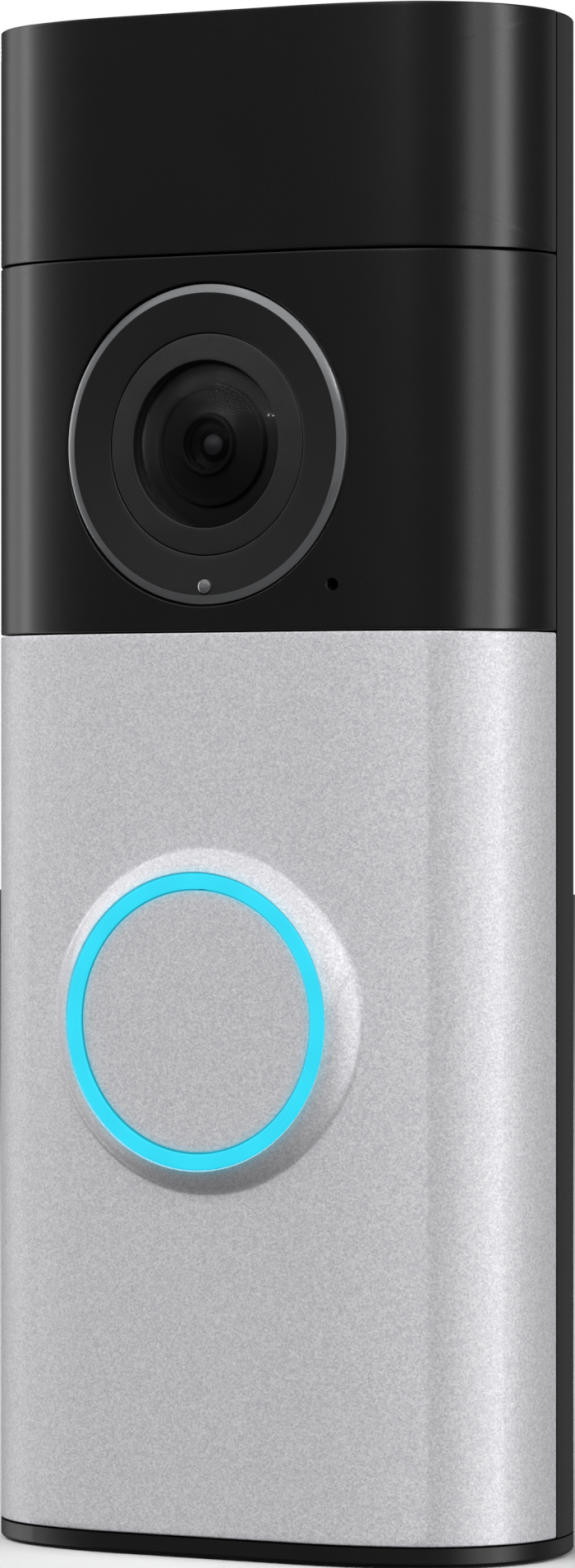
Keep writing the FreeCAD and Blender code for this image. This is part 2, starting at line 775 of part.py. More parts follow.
def speaker():
    x, z = speaker_face(), speaker_z()
    half = speaker_length / 2
    case = block(x, x + speaker_thickness, speaker_front, speaker_back, z - half, z + half)
    mouth = block(x - 1, x + 0.3, speaker_front + 0.8, speaker_back - 0.8,
                  z - half + 0.8, z + half - 0.8)
    return case.cut(mouth)


def speaker_mesh():
    x, z = speaker_face(), speaker_z()
    half = speaker_length / 2
    return block(x - 0.3, x, speaker_front, speaker_back, z - half, z + half)


# ---- Wiring terminals and screws -------------------------------------------------------------
terminal_seat = depth - pocket_depth + 0.7


def terminal_posts():
    posts = []
    for side in (-1, 1):
        brass = disc(3.0, board_back + 0.1, terminal_seat, side * terminal_x, terminal_z)
        bore = disc(1.55, board_back + 1.0, depth, side * terminal_x, terminal_z)
        posts.append(brass.cut(bore))
    return Part.makeCompound(posts)


def terminal_screw(side):
    x = side * terminal_x
    head = disc(3.3, terminal_seat + contact, terminal_seat + 2.0, x, terminal_z)
    shank = disc(1.5, board_back + 1.2, terminal_seat + 1.0, x, terminal_z)
    slot = block(x - 4, x + 4, terminal_seat + 1.1, terminal_seat + 3,
                 terminal_z - 0.4, terminal_z + 0.4)
    return fuse(head, shank).cut(slot)


def cover_screws():
    return Part.makeCompound([
        screw(x, z, deck_back + contact, surface_depth(cover_wall, x) + 1.4,
              small_head_r, small_shank_r, 1.2, -1)
        for x, z in cover_screw_places()])


def chassis_screws():
    return Part.makeCompound([
        screw(x, z, deck_depth - contact, deck_back + 6.5, small_head_r, small_shank_r, 1.2, 1)
        for x, z in chassis_screw_places()])


def board_screws():
    return Part.makeCompound([
        screw(x, z, board_back + contact, deck_depth + 0.6, small_head_r, small_shank_r, 1.0, -1)
        for x, z in board_screw_places()])


# ---- Every piece, under the name of its node -------------------------------------------------
pieces = {
    "rear_housing": rear_housing(),
    "base_cap": base_cap(),
    "base_screws": base_screws(),
    "security_screw": security_screw(),
    "top_cap": top_cap(),
    "camera_cover": camera_cover(),
    "faceplate": faceplate(),
    "halo_diffuser": halo_diffuser(),
    "button_cap": button_cap(),
    "light_guide": light_guide(),
    "halo_leds": halo_leds(),
    "halo_board": halo_board(),
    "tactile_switch": tactile_switch(),
    "switch_plunger": switch_plunger(),
    "lens_bezel": lens_bezel(),
    "lens_trim": lens_trim(),
    "lens_window": lens_window(),
    "lens_barrel": lens_barrel(),
    "front_element": front_element(),
    "camera_module": camera_module(),
    "camera_board": camera_board(),
    "illuminator_board": illuminator_board(),
    "infrared_leds": infrared_leds(),
    "sensor_window": sensor_window(),
    "light_sensor": light_sensor(),
    "microphone_boot": microphone_boot(),
    "microphone": microphone(),
    "microphone_board": microphone_board(),
    "chassis": chassis(),
    "housing_gasket": housing_gasket(),
    "main_board": main_board(),
    "processor_shield": processor_shield(),
    "radio_shield": radio_shield(),
    "power_capacitor": power_capacitor(),
    "board_connector": board_connector(),
    "button_ribbon": button_ribbon(),
    "antenna": antenna(),
    "speaker": speaker(),
    "speaker_mesh": speaker_mesh(),
    "terminal_posts": terminal_posts(),
    "terminal_screw_left": terminal_screw(-1),
    "terminal_screw_right": terminal_screw(1),
    "cover_screws": cover_screws(),
    "chassis_screws": chassis_screws(),
    "board_screws": board_screws(),
}

os.makedirs("parts", exist_ok=True)
for name, shape in pieces.items():
    shape.exportStep("parts/" + name + ".step")
    print(name, "solids", len(shape.Solids), "valid", shape.isValid(), "mm3", round(shape.Volume, 1))
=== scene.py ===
# %% [markdown]
# # A video doorbell, dressed over its working frame
#
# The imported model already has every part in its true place, with every joint working. This
# lesson gives it its looks. The pieces that the eye rests on (both black covers, the silver
# faceplate, the button, the glowing band and the camera's glass) are worked out here as fine
# surfaces. Everything else keeps its own mesh and gets a finish. Sizes inside the shape functions
# are in millimetres, and one function turns them to metres when it makes a mesh.

# %% Load the frame
import bmesh
import bpy
import json
import math
import mathutils
import numpy as np
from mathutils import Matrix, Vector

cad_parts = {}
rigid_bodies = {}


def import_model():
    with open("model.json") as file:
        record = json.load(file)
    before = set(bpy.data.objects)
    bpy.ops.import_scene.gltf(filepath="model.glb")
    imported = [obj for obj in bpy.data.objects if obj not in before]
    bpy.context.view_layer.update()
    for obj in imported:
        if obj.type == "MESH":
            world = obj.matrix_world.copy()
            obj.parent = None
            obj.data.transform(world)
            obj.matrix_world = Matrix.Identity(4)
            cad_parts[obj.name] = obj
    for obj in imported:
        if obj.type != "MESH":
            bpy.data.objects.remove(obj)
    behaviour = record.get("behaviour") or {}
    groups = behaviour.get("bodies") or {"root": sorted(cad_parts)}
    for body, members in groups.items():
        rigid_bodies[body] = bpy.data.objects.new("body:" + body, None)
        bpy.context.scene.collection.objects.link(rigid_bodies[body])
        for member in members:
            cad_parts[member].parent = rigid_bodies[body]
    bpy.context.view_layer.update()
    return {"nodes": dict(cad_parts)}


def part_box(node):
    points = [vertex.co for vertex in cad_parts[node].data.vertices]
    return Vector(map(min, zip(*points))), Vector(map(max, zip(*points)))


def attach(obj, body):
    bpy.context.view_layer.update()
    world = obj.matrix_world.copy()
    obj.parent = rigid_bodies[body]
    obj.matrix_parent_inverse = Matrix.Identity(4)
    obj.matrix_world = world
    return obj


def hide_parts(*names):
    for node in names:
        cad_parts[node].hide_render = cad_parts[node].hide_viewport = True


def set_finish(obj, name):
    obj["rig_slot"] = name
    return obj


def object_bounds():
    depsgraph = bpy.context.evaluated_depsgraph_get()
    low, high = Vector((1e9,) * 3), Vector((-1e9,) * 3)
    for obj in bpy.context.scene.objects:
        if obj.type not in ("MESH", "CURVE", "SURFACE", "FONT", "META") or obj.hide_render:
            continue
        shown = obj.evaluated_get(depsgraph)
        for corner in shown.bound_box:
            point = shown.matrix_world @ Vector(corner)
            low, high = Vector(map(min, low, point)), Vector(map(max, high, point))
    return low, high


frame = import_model()
nodes = frame["nodes"]
MM = 0.001

# %% [markdown]
# ## The camera
#
# A long lens from a little over half a metre flattens the perspective, as in a catalogue
# picture. The camera stands at the height of the doorbell's middle and about thirty degrees to
# its right, and it looks level, so the upright edges stay parallel. It aims a few millimetres
# beside the front's middle, which centres the whole body between the frame's sides.

# %% The camera
def camera_at(azimuth, distance, aside, focal_length):
    """A level camera that looks along -distance times the direction of azimuth, which turns from
    the front (-Y) towards +X. The front's middle lies `aside` to the left of the line of sight."""
    turn = math.radians(azimuth)
    ahead = np.array([-math.sin(turn), math.cos(turn), 0.0])
    right = np.array([math.cos(turn), math.sin(turn), 0.0])
    front = np.array([0.0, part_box("camera_cover")[0].y, 0.0])
    camera = bpy.data.objects.new("camera", bpy.data.cameras.new("camera"))
    camera.location = front - ahead * distance + right * aside
    camera.rotation_euler = (math.pi / 2, 0.0, turn)
    camera.data.lens = focal_length
    camera.data.clip_start = 0.01
    bpy.context.scene.collection.objects.link(camera)
    bpy.context.scene.camera = camera
    return camera


camera = camera_at(azimuth=29.593, distance=0.56197, aside=0.00681, focal_length=158.345)
print("camera at", [round(value, 4) for value in camera.location])

# %% [markdown]
# ## The plan curve of the body
#
# Seen from above, every outer piece shares one outline: a flat strip down the front, a gentle
# curve, a tighter corner and a last curve that draws in towards the wall. Each stretch is an arc
# that starts where the one before it stops, in the same direction. So a point on the outline
# needs only one number, the length along it from the middle, and the angle of the surface comes
# with it. A sketch of spline points would do too, but arcs hold their shape when a size changes.

# %% The plan curve of the body
FLAT_HALF = 8.3              # half width of the flat strip
FRONT_RADIUS = 27.6          # the gentle curve beside it
CORNER_RADIUS = 11.7         # the corner
BACK_HALF = 20.9             # half width at the wall
half_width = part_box("camera_cover")[1].x / MM
body_depth = -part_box("camera_cover")[0].y / MM

corner_angle = math.asin((half_width - FLAT_HALF - CORNER_RADIUS) / (FRONT_RADIUS - CORNER_RADIUS))
corner_x = FLAT_HALF + (FRONT_RADIUS - CORNER_RADIUS) * math.sin(corner_angle)
widest = FRONT_RADIUS - (FRONT_RADIUS - CORNER_RADIUS) * math.cos(corner_angle)
across, along = half_width - BACK_HALF, body_depth - widest
BACK_RADIUS = (across ** 2 + along ** 2) / (2 * across)
FRONT_END = FLAT_HALF + FRONT_RADIUS * corner_angle
CORNER_END = FRONT_END + CORNER_RADIUS * (math.pi / 2 - corner_angle)


def plan(u, inset=0.0):
    """x, depth and surface angle at a length u along the outline from the middle. On each arc,
    x is its centre plus radius times the sine of the angle, and depth is its centre less radius
    times the cosine. Both then move `inset` inwards along the surface's normal."""
    v = np.abs(u)
    angle = np.select(
        [v < FLAT_HALF, v < FRONT_END, v < CORNER_END],
        [0 * v, (v - FLAT_HALF) / FRONT_RADIUS, corner_angle + (v - FRONT_END) / CORNER_RADIUS],
        math.pi / 2 + (v - CORNER_END) / BACK_RADIUS)
    radius = np.select([v < FRONT_END, v < CORNER_END], [FRONT_RADIUS, CORNER_RADIUS], BACK_RADIUS)
    middle_x = np.select([v < FLAT_HALF, v < FRONT_END, v < CORNER_END],
                         [v, FLAT_HALF, corner_x], half_width - BACK_RADIUS)
    middle_depth = np.select([v < FRONT_END], [FRONT_RADIUS], widest)
    x = middle_x + (radius - inset) * np.sin(angle)
    depth = middle_depth - (radius - inset) * np.cos(angle)
    return np.sign(u) * x, depth, np.sign(u) * angle


def length_at_x(x):
    """The length along the front curve above a distance x from the middle, by arc sine."""
    v = np.abs(x)
    bent = np.arcsin(np.clip((v - FLAT_HALF) / FRONT_RADIUS, 0, 1)) * FRONT_RADIUS
    return np.sign(x) * np.where(v < FLAT_HALF, v, FLAT_HALF + bent)


def length_at_depth(depth):
    """The length along the outline at which it reaches a depth behind the widest line."""
    return CORNER_END + BACK_RADIUS * math.asin((depth - widest) / BACK_RADIUS)


print("corner angle", round(math.degrees(corner_angle), 2), "back radius", round(BACK_RADIUS, 2))

# %% [markdown]
# ## From a grid of numbers to a solid
#
# Every new piece is a grid: rows follow one another across the surface, and each row is a closed
# loop. When the last row meets the first, the grid is a hoop, like a washer. When the first and
# the last row shrink to a point, it is closed like a ball. Both make a solid with an inside and
# an outside, and the sign of its volume tells whether its faces look outwards. The same could be
# done with Spin and Screw modifiers, but a grid keeps the spacing of its rows under control, and
# close rows are what make a small rounded edge catch the light.

# %% From a grid of numbers to a solid
def grid_faces(grid):
    """Four-cornered faces over a grid of rows by columns. The columns always close, and the rows
    close too unless the grid begins at a point. The faces turn over if the volume, a sixth of
    the sum of the corners' triple products, comes out negative."""
    rows, columns = grid.shape[:2]
    number = np.arange(rows * columns).reshape(rows, columns)
    begins_at_point = np.ptp(grid[0], axis=0).max() < 1e-6
    here = number[:-1] if begins_at_point else number
    after = number[1:] if begins_at_point else np.roll(number, -1, axis=0)
    beside = [np.roll(here, -1, axis=1), np.roll(after, -1, axis=1)]
    faces = np.stack([here, after, beside[1], beside[0]], axis=-1).reshape(-1, 4)
    a, b, c, d = np.moveaxis(grid.reshape(-1, 3)[faces], 1, 0)
    volume = np.sum(a * np.cross(b, c)) + np.sum(a * np.cross(c, d))
    return faces if volume > 0 else faces[:, ::-1]


def mesh_of(name, grids):
    """One mesh from closed grids in millimetres. A depth in a grid's second column is counted
    from the front, so y is the depth less the body's depth. Rows that fall on one another are
    merged, which closes the poles."""
    points, faces, starts = [], [], [0]
    for grid in grids:
        faces.append(grid_faces(grid) + starts[-1])
        points.append(grid.reshape(-1, 3) - [0, body_depth, 0])
        starts.append(starts[-1] + len(points[-1]))
    mesh = bpy.data.meshes.new(name)
    mesh.from_pydata((np.concatenate(points) * MM).tolist(), [], np.concatenate(faces).tolist())
    tidy = bmesh.new()
    tidy.from_mesh(mesh)
    tidy.verts.ensure_lookup_table()
    for corners in [tidy.verts[a:b] for a, b in zip(starts, starts[1:])]:
        bmesh.ops.remove_doubles(tidy, verts=corners, dist=1e-7)
    bmesh.ops.dissolve_degenerate(tidy, edges=tidy.edges, dist=1e-8)
    tidy.to_mesh(mesh)
    tidy.free()
    return shade(mesh)


def make_piece(name, grids, body, slot, *replaced):
    """A new piece from closed grids, which rides on a body, takes its finish from a slot and
    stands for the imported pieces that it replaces."""
    piece = bpy.data.objects.new(name, mesh_of(name, grids))
    bpy.context.scene.collection.objects.link(piece)
    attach(piece, body)
    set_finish(piece, slot)
    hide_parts(*replaced)
    print(name, "has", len(piece.data.polygons), "faces")
    return piece


def shade(mesh):
    """Smooth shading, except across edges that turn by more than 35 degrees."""
    mesh.polygons.foreach_set("use_smooth", np.ones(len(mesh.polygons), bool))
    mesh.set_sharp_from_angle(angle=math.radians(35))
    return mesh


def lathe(outline, x, z, count=240):
    """A grid turned about an axis along depth at x, z. The outline is a list of (radius, depth):
    each of its points becomes a circle, x plus radius times sine and z plus radius times cosine
    of the turn."""
    turn = np.linspace(0, 2 * math.pi, count, endpoint=False)
    radius, depth = np.array(outline, float).T[:, :, None]
    return np.stack([x + radius * np.sin(turn), depth + 0 * turn, z + radius * np.cos(turn)], axis=-1)


def rounded(outline, radii, steps=5):
    """The outline with each corner turned into a curve. The curve starts and ends its radius
    away from the corner and is a quadratic arc: (1-s) squared times the start, plus 2s(1-s)
    times the corner, plus s squared times the end."""
    points = np.array(outline, float)
    result = []
    for index, radius in enumerate(radii):
        corner = points[index]
        if radius == 0:
            result.append(corner[None])
            continue
        before, after = points[index - 1] - corner, points[(index + 1) % len(points)] - corner
        start = corner + before * radius / np.linalg.norm(before)
        end = corner + after * radius / np.linalg.norm(after)
        s = np.linspace(0, 1, steps)[:, None]
        result.append((1 - s) ** 2 * start + 2 * s * (1 - s) * corner + s ** 2 * end)
    return np.concatenate(result)


def bar(low, high, soft=0.15):
    """A small rounded block between two corners (x, depth, z). Its loops are rounded rectangles
    in x and depth: a point, a loop drawn in by `soft`, two full loops, and the same back."""
    (x0, t0, z0), (x1, t1, z1) = low, high
    loop = rounded([(x0, t0), (x1, t0), (x1, t1), (x0, t1)], [soft] * 4, 4)
    middle = loop.mean(axis=0)
    small = middle + (loop - middle) * (1 - soft / np.ptp(loop, axis=0).min())
    levels = [(middle + 0 * loop, z0), (small, z0), (loop, z0 + soft),
              (loop, z1 - soft), (small, z1), (middle + 0 * loop, z1)]
    return np.stack([np.column_stack([points, np.full(len(points), z)]) for points, z in levels])

# %% [markdown]
# ## One way to make all three front covers
#
# The top cap, the camera cover and the faceplate are shells of even thickness with soft edges.
# Laid flat along the plan curve, each one is a rectangle with small rounded corners, so each can
# be made by the same walk: out from the middle (or from a round opening) over the front, round
# the soft edge, along the end wall to the rim that meets the housing, and back over the inside.
# The walk is the same in every direction, so its stations become the rows of a grid. Sculpting a
# box with bevels would look alike from the front, but the edge of a bevel seldom follows a
# surface that bends, and this walk does.

# %% The outline of a cover, laid flat
EDGE = 0.14                  # softened outer edges
DECK = 9.0                   # end walls stop here where the inner deck runs on behind them
CORNER_ROUND = 0.22          # corners of the flat outline
END_INSET = 3.0              # an end wall's inner edge stops this far from the rim
END_DIRECTION = 0.7          # an edge that looks this much up or down is an end wall


def flat_outline(half_length, low, high, centre, count):
    """Points round a rectangle with rounded corners, and the outward direction at each. Straight
    sides are spaced by equal angles as seen from the centre: a ray meets side A-B at the share
    cross(centre - A, ray) / cross(B - A, ray). Corners are quarter circles."""
    across, up = half_length - CORNER_ROUND, (low + CORNER_ROUND, high - CORNER_ROUND)
    middle = np.array([0.0, centre])
    points, outward = [], []
    for side, (z, start) in enumerate([(up[1], 0.0), (up[0], 0.5), (up[0], 1.0), (up[1], 1.5)]):
        hub = np.array([across if side < 2 else -across, z])
        turn = math.pi * (start + np.linspace(0, 0.5, 7))
        ray = np.column_stack([np.sin(turn), np.cos(turn)])
        points.append(hub + CORNER_ROUND * ray)
        outward.append(ray)
        following = [(across, up[0]), (-across, up[0]), (-across, up[1]), (across, up[1])][side]
        a, b = points[-1][-1], np.array(following) + CORNER_ROUND * ray[-1]
        angles = np.unwrap([math.atan2(*(a - middle)), math.atan2(*(b - middle))])
        number = max(3, round(count * abs(angles[1] - angles[0]) / (2 * math.pi)))
        sweep = np.linspace(*angles, number + 2)[1:-1]
        rays = np.column_stack([np.sin(sweep), np.cos(sweep)])
        share = np.cross(middle - a, rays) / np.cross(b - a, rays)
        points.append(a + share[:, None] * (b - a))
        outward.append(np.repeat(ray[-1:], number, axis=0))
    return np.concatenate(points), np.concatenate(outward)


flat, outward = flat_outline(33.0, 0.0, 20.0, 10.0, 360)
print("a flat outline has", len(flat), "points round", np.ptp(flat, axis=0).round(2), "mm")

# %% [markdown]
# The walk itself comes next. Where a cover is cut away behind, so that the inner deck can run
# on past it, the end wall stops at that depth instead of at the rim.

# %% The walk over a cover
def smooth_least(a, b, reach):
    """The lesser of two depths, with their crossing filled by a parabola: the least of both,
    minus reach/4 times the square of how far they are from being `reach` apart."""
    near = np.clip(1 - np.abs(a - b) / reach, 0, 1)
    return np.minimum(a, b) - near ** 2 * reach / 4


def cover_grid(name, wall, open_low, open_high, hole=None, raise_front=None, count=440,
               front_rows=60, crowd=1.0):
    """The closed grid of a cover, with the walk's stations as rows and the flat outline's points
    as columns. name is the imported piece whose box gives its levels; hole is the opening's
    (height, radius, lip, seat radius, seat depth). raise_front changes the front's depth at x
    and z."""
    low, high = np.array(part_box(name)) / MM
    foot, top = low[2], high[2]
    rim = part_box("camera_cover")[1].y / MM + body_depth
    half_length = length_at_depth(rim)
    centre = hole[0] if hole else (foot + top) / 2
    path, out = flat_outline(half_length, foot, top, centre, count)
    inner_edge = path - EDGE * out
    turn = np.arctan2(path[:, 0], path[:, 1] - centre)
    rows = []

    def on_front(flat_points):
        """x, depth, z and surface angle of flat points, by the plan curve at their lengths."""
        x, depth, angle = plan(flat_points[:, 0])
        z = flat_points[:, 1]
        return x, raise_front(x, z, depth) if raise_front else depth, z, angle

    def circle(radius):
        """Flat points of a circle: x is radius times sine, and z adds radius times cosine."""
        x = radius * np.sin(turn)
        return np.column_stack([length_at_x(x), centre + radius * np.cos(turn)])

    if hole:
        _, bore, lip, seat_radius, seat_depth = hole
        for roll in np.linspace(0, math.pi / 2, 6)[:-1]:
            x, depth, z, _ = on_front(circle(bore + lip))
            inward = lip * math.cos(roll)
            rows.append(np.column_stack([x - inward * np.sin(turn), depth + lip * (1 - math.sin(roll)),
                                         z - inward * np.cos(turn)]))
        first = circle(bore + lip)
    else:
        first = np.tile([0.0, centre], (len(path), 1))
    for share in np.linspace(0, 1, front_rows) ** crowd:
        x, depth, z, angle = on_front(first + (inner_edge - first) * share)
        rows.append(np.column_stack([x, depth, z]))
    normal = np.column_stack([np.sin(angle), -np.cos(angle), 0 * angle])
    sideways = np.column_stack([np.cos(angle), np.sin(angle), 0 * angle])
    edge_way = out[:, :1] * sideways + out[:, 1:] * [0, 0, 1]
    edge_start = rows[-1]
    for roll in np.radians([15, 30, 45, 60, 75, 90]):
        rows.append(edge_start + EDGE * (math.sin(roll) * edge_way - (1 - math.cos(roll)) * normal))

    at_end = np.abs(out[:, 1]) > END_DIRECTION
    is_open = np.where(out[:, 1] > 0, open_high, open_low)
    stop = np.where(at_end & is_open, DECK, rim)
    outer = rows[-1].copy()
    beyond = at_end & is_open & (outer[:, 1] > DECK)
    outer[:, 1] = np.where(at_end & ~beyond, stop, outer[:, 1])
    rows.append(outer)

    def drawn_in(z, low_wall, high_wall):
        """Heights scaled evenly, so that they start and end a wall's thickness inside."""
        share = (z - foot) / (top - foot)
        return foot + low_wall + share * (top - foot - low_wall - high_wall)

    inside = path * [1 - END_INSET / half_length, 1]
    inside[:, 1] = drawn_in(path[:, 1], wall, wall)
    if hole:
        seat = circle(seat_radius)
        in_wall = at_end & (np.abs(seat[:, 1] - centre) > np.abs(inside[:, 1] - centre))
        inside = np.where(in_wall[:, None], seat, inside)
    x, depth, _ = plan(np.where(at_end, inside[:, 0], path[:, 0]), wall)
    back_z = drawn_in(path[:, 1], 0 if open_low else wall, 0 if open_high else wall)
    back_z = np.where(beyond, outer[:, 2], np.where(at_end, inside[:, 1], back_z))
    rows.append(np.column_stack([x, np.where(beyond, depth, stop), back_z]))
    last = seat if hole else first
    for share in np.linspace(0, 1, 18):
        flat_points = inside + (last - inside) * share
        x, depth, _ = plan(flat_points[:, 0], wall)
        rows.append(np.column_stack([x, depth, flat_points[:, 1]]))
    if hole:
        for radius in (seat_radius, bore):
            rows.append(np.column_stack([radius * np.sin(turn), 0 * turn + seat_depth,
                                         centre + radius * np.cos(turn)]))
    return np.stack(rows)

# %% [markdown]
# ## The top cap
#
# A plain black cap that clips on over the upper wall screw. Two guides under its upper wall slide
# beneath the end of the rear housing, and they show when the cap is pulled off.

# %% The top cap
COVER_WALL = 1.6
HOUSING_WALL = 1.8
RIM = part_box("camera_cover")[1].y / MM + body_depth
GUIDE_GAP = 0.25             # between a guide's blade and the wall that it slides under
GUIDE_BLADE = 1.2
TOP_GUIDE_X = 9


def guide(x, root, inward):
    """A guide that slides under the housing's end wall: a root and a blade, two small blocks."""
    reach = HOUSING_WALL + GUIDE_GAP
    blade = sorted([root + inward * reach, root + inward * (reach + GUIDE_BLADE)])
    stem = sorted([root + inward * 0.6, root + inward * (reach + 0.3)])
    return [bar((x - 2, RIM - 3.4, blade[0]), (x + 2, RIM + 3.2, blade[1])),
            bar((x - 2, RIM - 3.4, stem[0]), (x + 2, RIM - 0.1, stem[1]))]


top_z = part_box("top_cap")[1].z / MM
shell = cover_grid("top_cap", COVER_WALL, open_low=True, open_high=False, front_rows=44)
make_piece("top_cap_shell", [shell, *guide(-TOP_GUIDE_X, top_z, -1), *guide(TOP_GUIDE_X, top_z, -1)],
           "top_cap", "cover_black", "top_cap")

# %% [markdown]
# ## The camera cover
#
# The same walk with a round opening for the camera. Two posts take the screws that hold it from
# behind, and two ribs stand its lower corners on the deck. The microphone listens through a hole
# a millimetre wide. Drilling that hole is a Boolean's work: it only cuts the few faces it meets,
# and the rest of the surface keeps its even grid.

# %% The camera cover
lens_z = sum(corner.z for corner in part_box("lens_trim")) / 2 / MM
cover_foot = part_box("camera_cover")[0].z / MM
LENS_OPENING = 13.25
BEZEL_GAP = 0.2
SEAT_DEPTH = 1.5             # the bezel's flange sits in a recess this deep
MICROPHONE_HOLE = 0.5        # its radius
DRILL_END = 4.0              # deeper than every wall that is drilled
bezel_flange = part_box("lens_bezel")[1].x / MM
microphone = np.array(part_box("microphone_boot")).mean(axis=0) / MM


def drill(piece, x, z, radius, front, back, count=48):
    """Cuts a round hole along depth through a piece, with a chamfered mouth, and keeps the
    result as the piece's own mesh. A sliver that the cut leaves open is filled."""
    outline = [(0, front - 1), (radius + 0.1, front - 1), (radius + 0.1, front),
               (radius, front + 0.1), (radius, back), (0, back)]
    mesh = mesh_of("drill", [lathe(outline, x, z, count)])
    cutter = bpy.data.objects.new("drill", mesh)
    bpy.context.scene.collection.objects.link(cutter)
    cut = piece.modifiers.new("drill", "BOOLEAN")
    cut.operation, cut.solver, cut.object = "DIFFERENCE", "EXACT", cutter
    bpy.context.view_layer.update()
    seen = piece.evaluated_get(bpy.context.evaluated_depsgraph_get())
    drilled = bpy.data.meshes.new_from_object(seen)
    tidy = bmesh.new()
    tidy.from_mesh(drilled)
    torn = [edge for edge in tidy.edges if len(edge.link_faces) == 1]
    bmesh.ops.holes_fill(tidy, edges=torn, sides=4)
    tidy.to_mesh(drilled)
    tidy.free()
    piece.modifiers.clear()
    piece.data = shade(drilled)
    bpy.data.objects.remove(cutter)
    print(piece.name, "drilled at", round(x, 2), round(z, 2), "faces now", len(drilled.polygons))


def small_post(x, z, radius, front, back):
    """A plain round post along depth with softened ends."""
    outline = rounded([(0, front), (radius, front), (radius, back), (0, back)], [0, 0.1, 0.1, 0], 3)
    return lathe(outline, x, z, 48)


opening = (lens_z, LENS_OPENING, 0.1, bezel_flange + BEZEL_GAP, SEAT_DEPTH)
shell = cover_grid("camera_cover", COVER_WALL, open_low=True, open_high=True, hole=opening,
                   front_rows=46, crowd=1.2)
screws = np.array(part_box("cover_screws")) / MM
POST_RADIUS = 1.9            # half the width of a screw's head as well
post_x, post_z = screws[1, 0] - POST_RADIUS, screws[:, 2].mean()
post_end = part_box("halo_board")[1].y / MM + body_depth - 0.05
posts = [small_post(side * post_x, post_z, POST_RADIUS, 4.0, post_end) for side in (-1, 1)]
RIB_HALF = 0.95
rib_x = 22.2 - RIB_HALF      # the ribs' outer side lies just inside the cover's side wall
rib_foot = cover_foot + 2.1
ribs = [bar((side * rib_x - RIB_HALF, 6.0, rib_foot), (side * rib_x + RIB_HALF, post_end, rib_foot + 4))
        for side in (-1, 1)]
camera_cover = make_piece("camera_cover_shell", [shell, *posts, *ribs], "housing", "cover_black",
                          "camera_cover")
drill(camera_cover, microphone[0], microphone[2], MICROPHONE_HOLE,
      float(plan(length_at_x(microphone[0]))[1]) - 0.05, DRILL_END)

# %% [markdown]
# ## The faceplate and its collar
#
# The silver plate rises in a shallow cone round the button and carries the glowing band at its
# top. The cone meets the front in a soft hollow, and it meets it lower down at the sides, where
# the front curves away. Taking the lesser depth of the cone and the front gives the right
# crossing everywhere, and a smooth version of it also fills the hollow. The rows crowd towards
# the collar, where the surface turns fastest.

# %% The faceplate and its collar
button_z = sum(corner.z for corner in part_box("halo_diffuser")) / 2 / MM
plate_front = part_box("faceplate")[0].y / MM + body_depth
HALO_OUTER = 12.04
HALO_INNER = 10.80
PLATE_WALL = 1.2
COLLAR_LIP = 0.17            # from the band's edge to where the cone starts
COLLAR_SPREAD = 2.09         # from the collar's top edge to its foot on the flat
COLLAR_HOLLOW = 0.32         # how near the cone and the front come before the hollow starts
COLLAR_TURN = 12.8           # beyond this radius the flank curves down, so its foot stays round
COLLAR_CURVE = 0.25          # extra depth in mm at 1 mm beyond it, growing with the square


def collar_depth(x, z, front_depth):
    """A cone about the button: its depth grows evenly with distance from its top edge, plus
    COLLAR_CURVE times the square of the distance beyond COLLAR_TURN."""
    distance = np.hypot(x, z - button_z)
    slope = -plate_front / COLLAR_SPREAD
    cone = plate_front + np.maximum(distance - HALO_OUTER - COLLAR_LIP, 0) * slope
    cone += COLLAR_CURVE * np.maximum(distance - COLLAR_TURN, 0) ** 2
    return smooth_least(cone, front_depth, COLLAR_HOLLOW)


opening = (button_z, HALO_OUTER + 0.05, 0.12, HALO_OUTER + 1.56, PLATE_WALL - 0.05)
shell = cover_grid("faceplate", PLATE_WALL, open_low=False, open_high=True, hole=opening,
                   raise_front=collar_depth, count=520, front_rows=84, crowd=1.7)
plate_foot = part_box("faceplate")[0].z / MM
GUIDE_X = 17.27              # the guides stand beside the speaker
tab_z = plate_foot + 3.8     # the forked tab that the security screw holds
tab_top = tab_z + 1.2
tab = [bar((-5, PLATE_WALL - 0.4, tab_z), (5, 5.5, tab_top)),
       bar((-5, 5.2, tab_z), (-1.5, 10, tab_top)), bar((1.5, 5.2, tab_z), (5, 10, tab_top))]
guides = [*guide(-GUIDE_X, plate_foot, 1), *guide(GUIDE_X, plate_foot, 1)]
make_piece("faceplate_shell", [shell, *guides, *tab], "faceplate", "satin_nickel", "faceplate")

# %% [markdown]
# ## The glowing band and the button
#
# The band is opal acrylic with a flange behind that the collar traps. The button is a thin cup
# that stands a fifth of a millimetre below the band, with a stem that presses the switch and
# three hooks that stop it falling out. Both are turned shapes, so each is one outline carried
# round an axis; softened corners give the fine bright lines of a moulded edge.

# %% The glowing band and the button
band_box = np.array(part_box("halo_diffuser")) / MM
flange_back = band_box[1, 1] + body_depth
flange_front = flange_back - 0.9
flange_radius = band_box[1, 0]
band = rounded([(HALO_INNER, flange_back), (HALO_INNER, plate_front), (HALO_OUTER, plate_front),
                (HALO_OUTER, flange_front), (flange_radius, flange_front),
                (flange_radius, flange_back)], [0.1, 0.16, 0.16, 0.05, 0.1, 0.1], 6)
make_piece("halo_band", [lathe(band, 0, button_z, 360)], "faceplate", "halo_acrylic", "halo_diffuser")

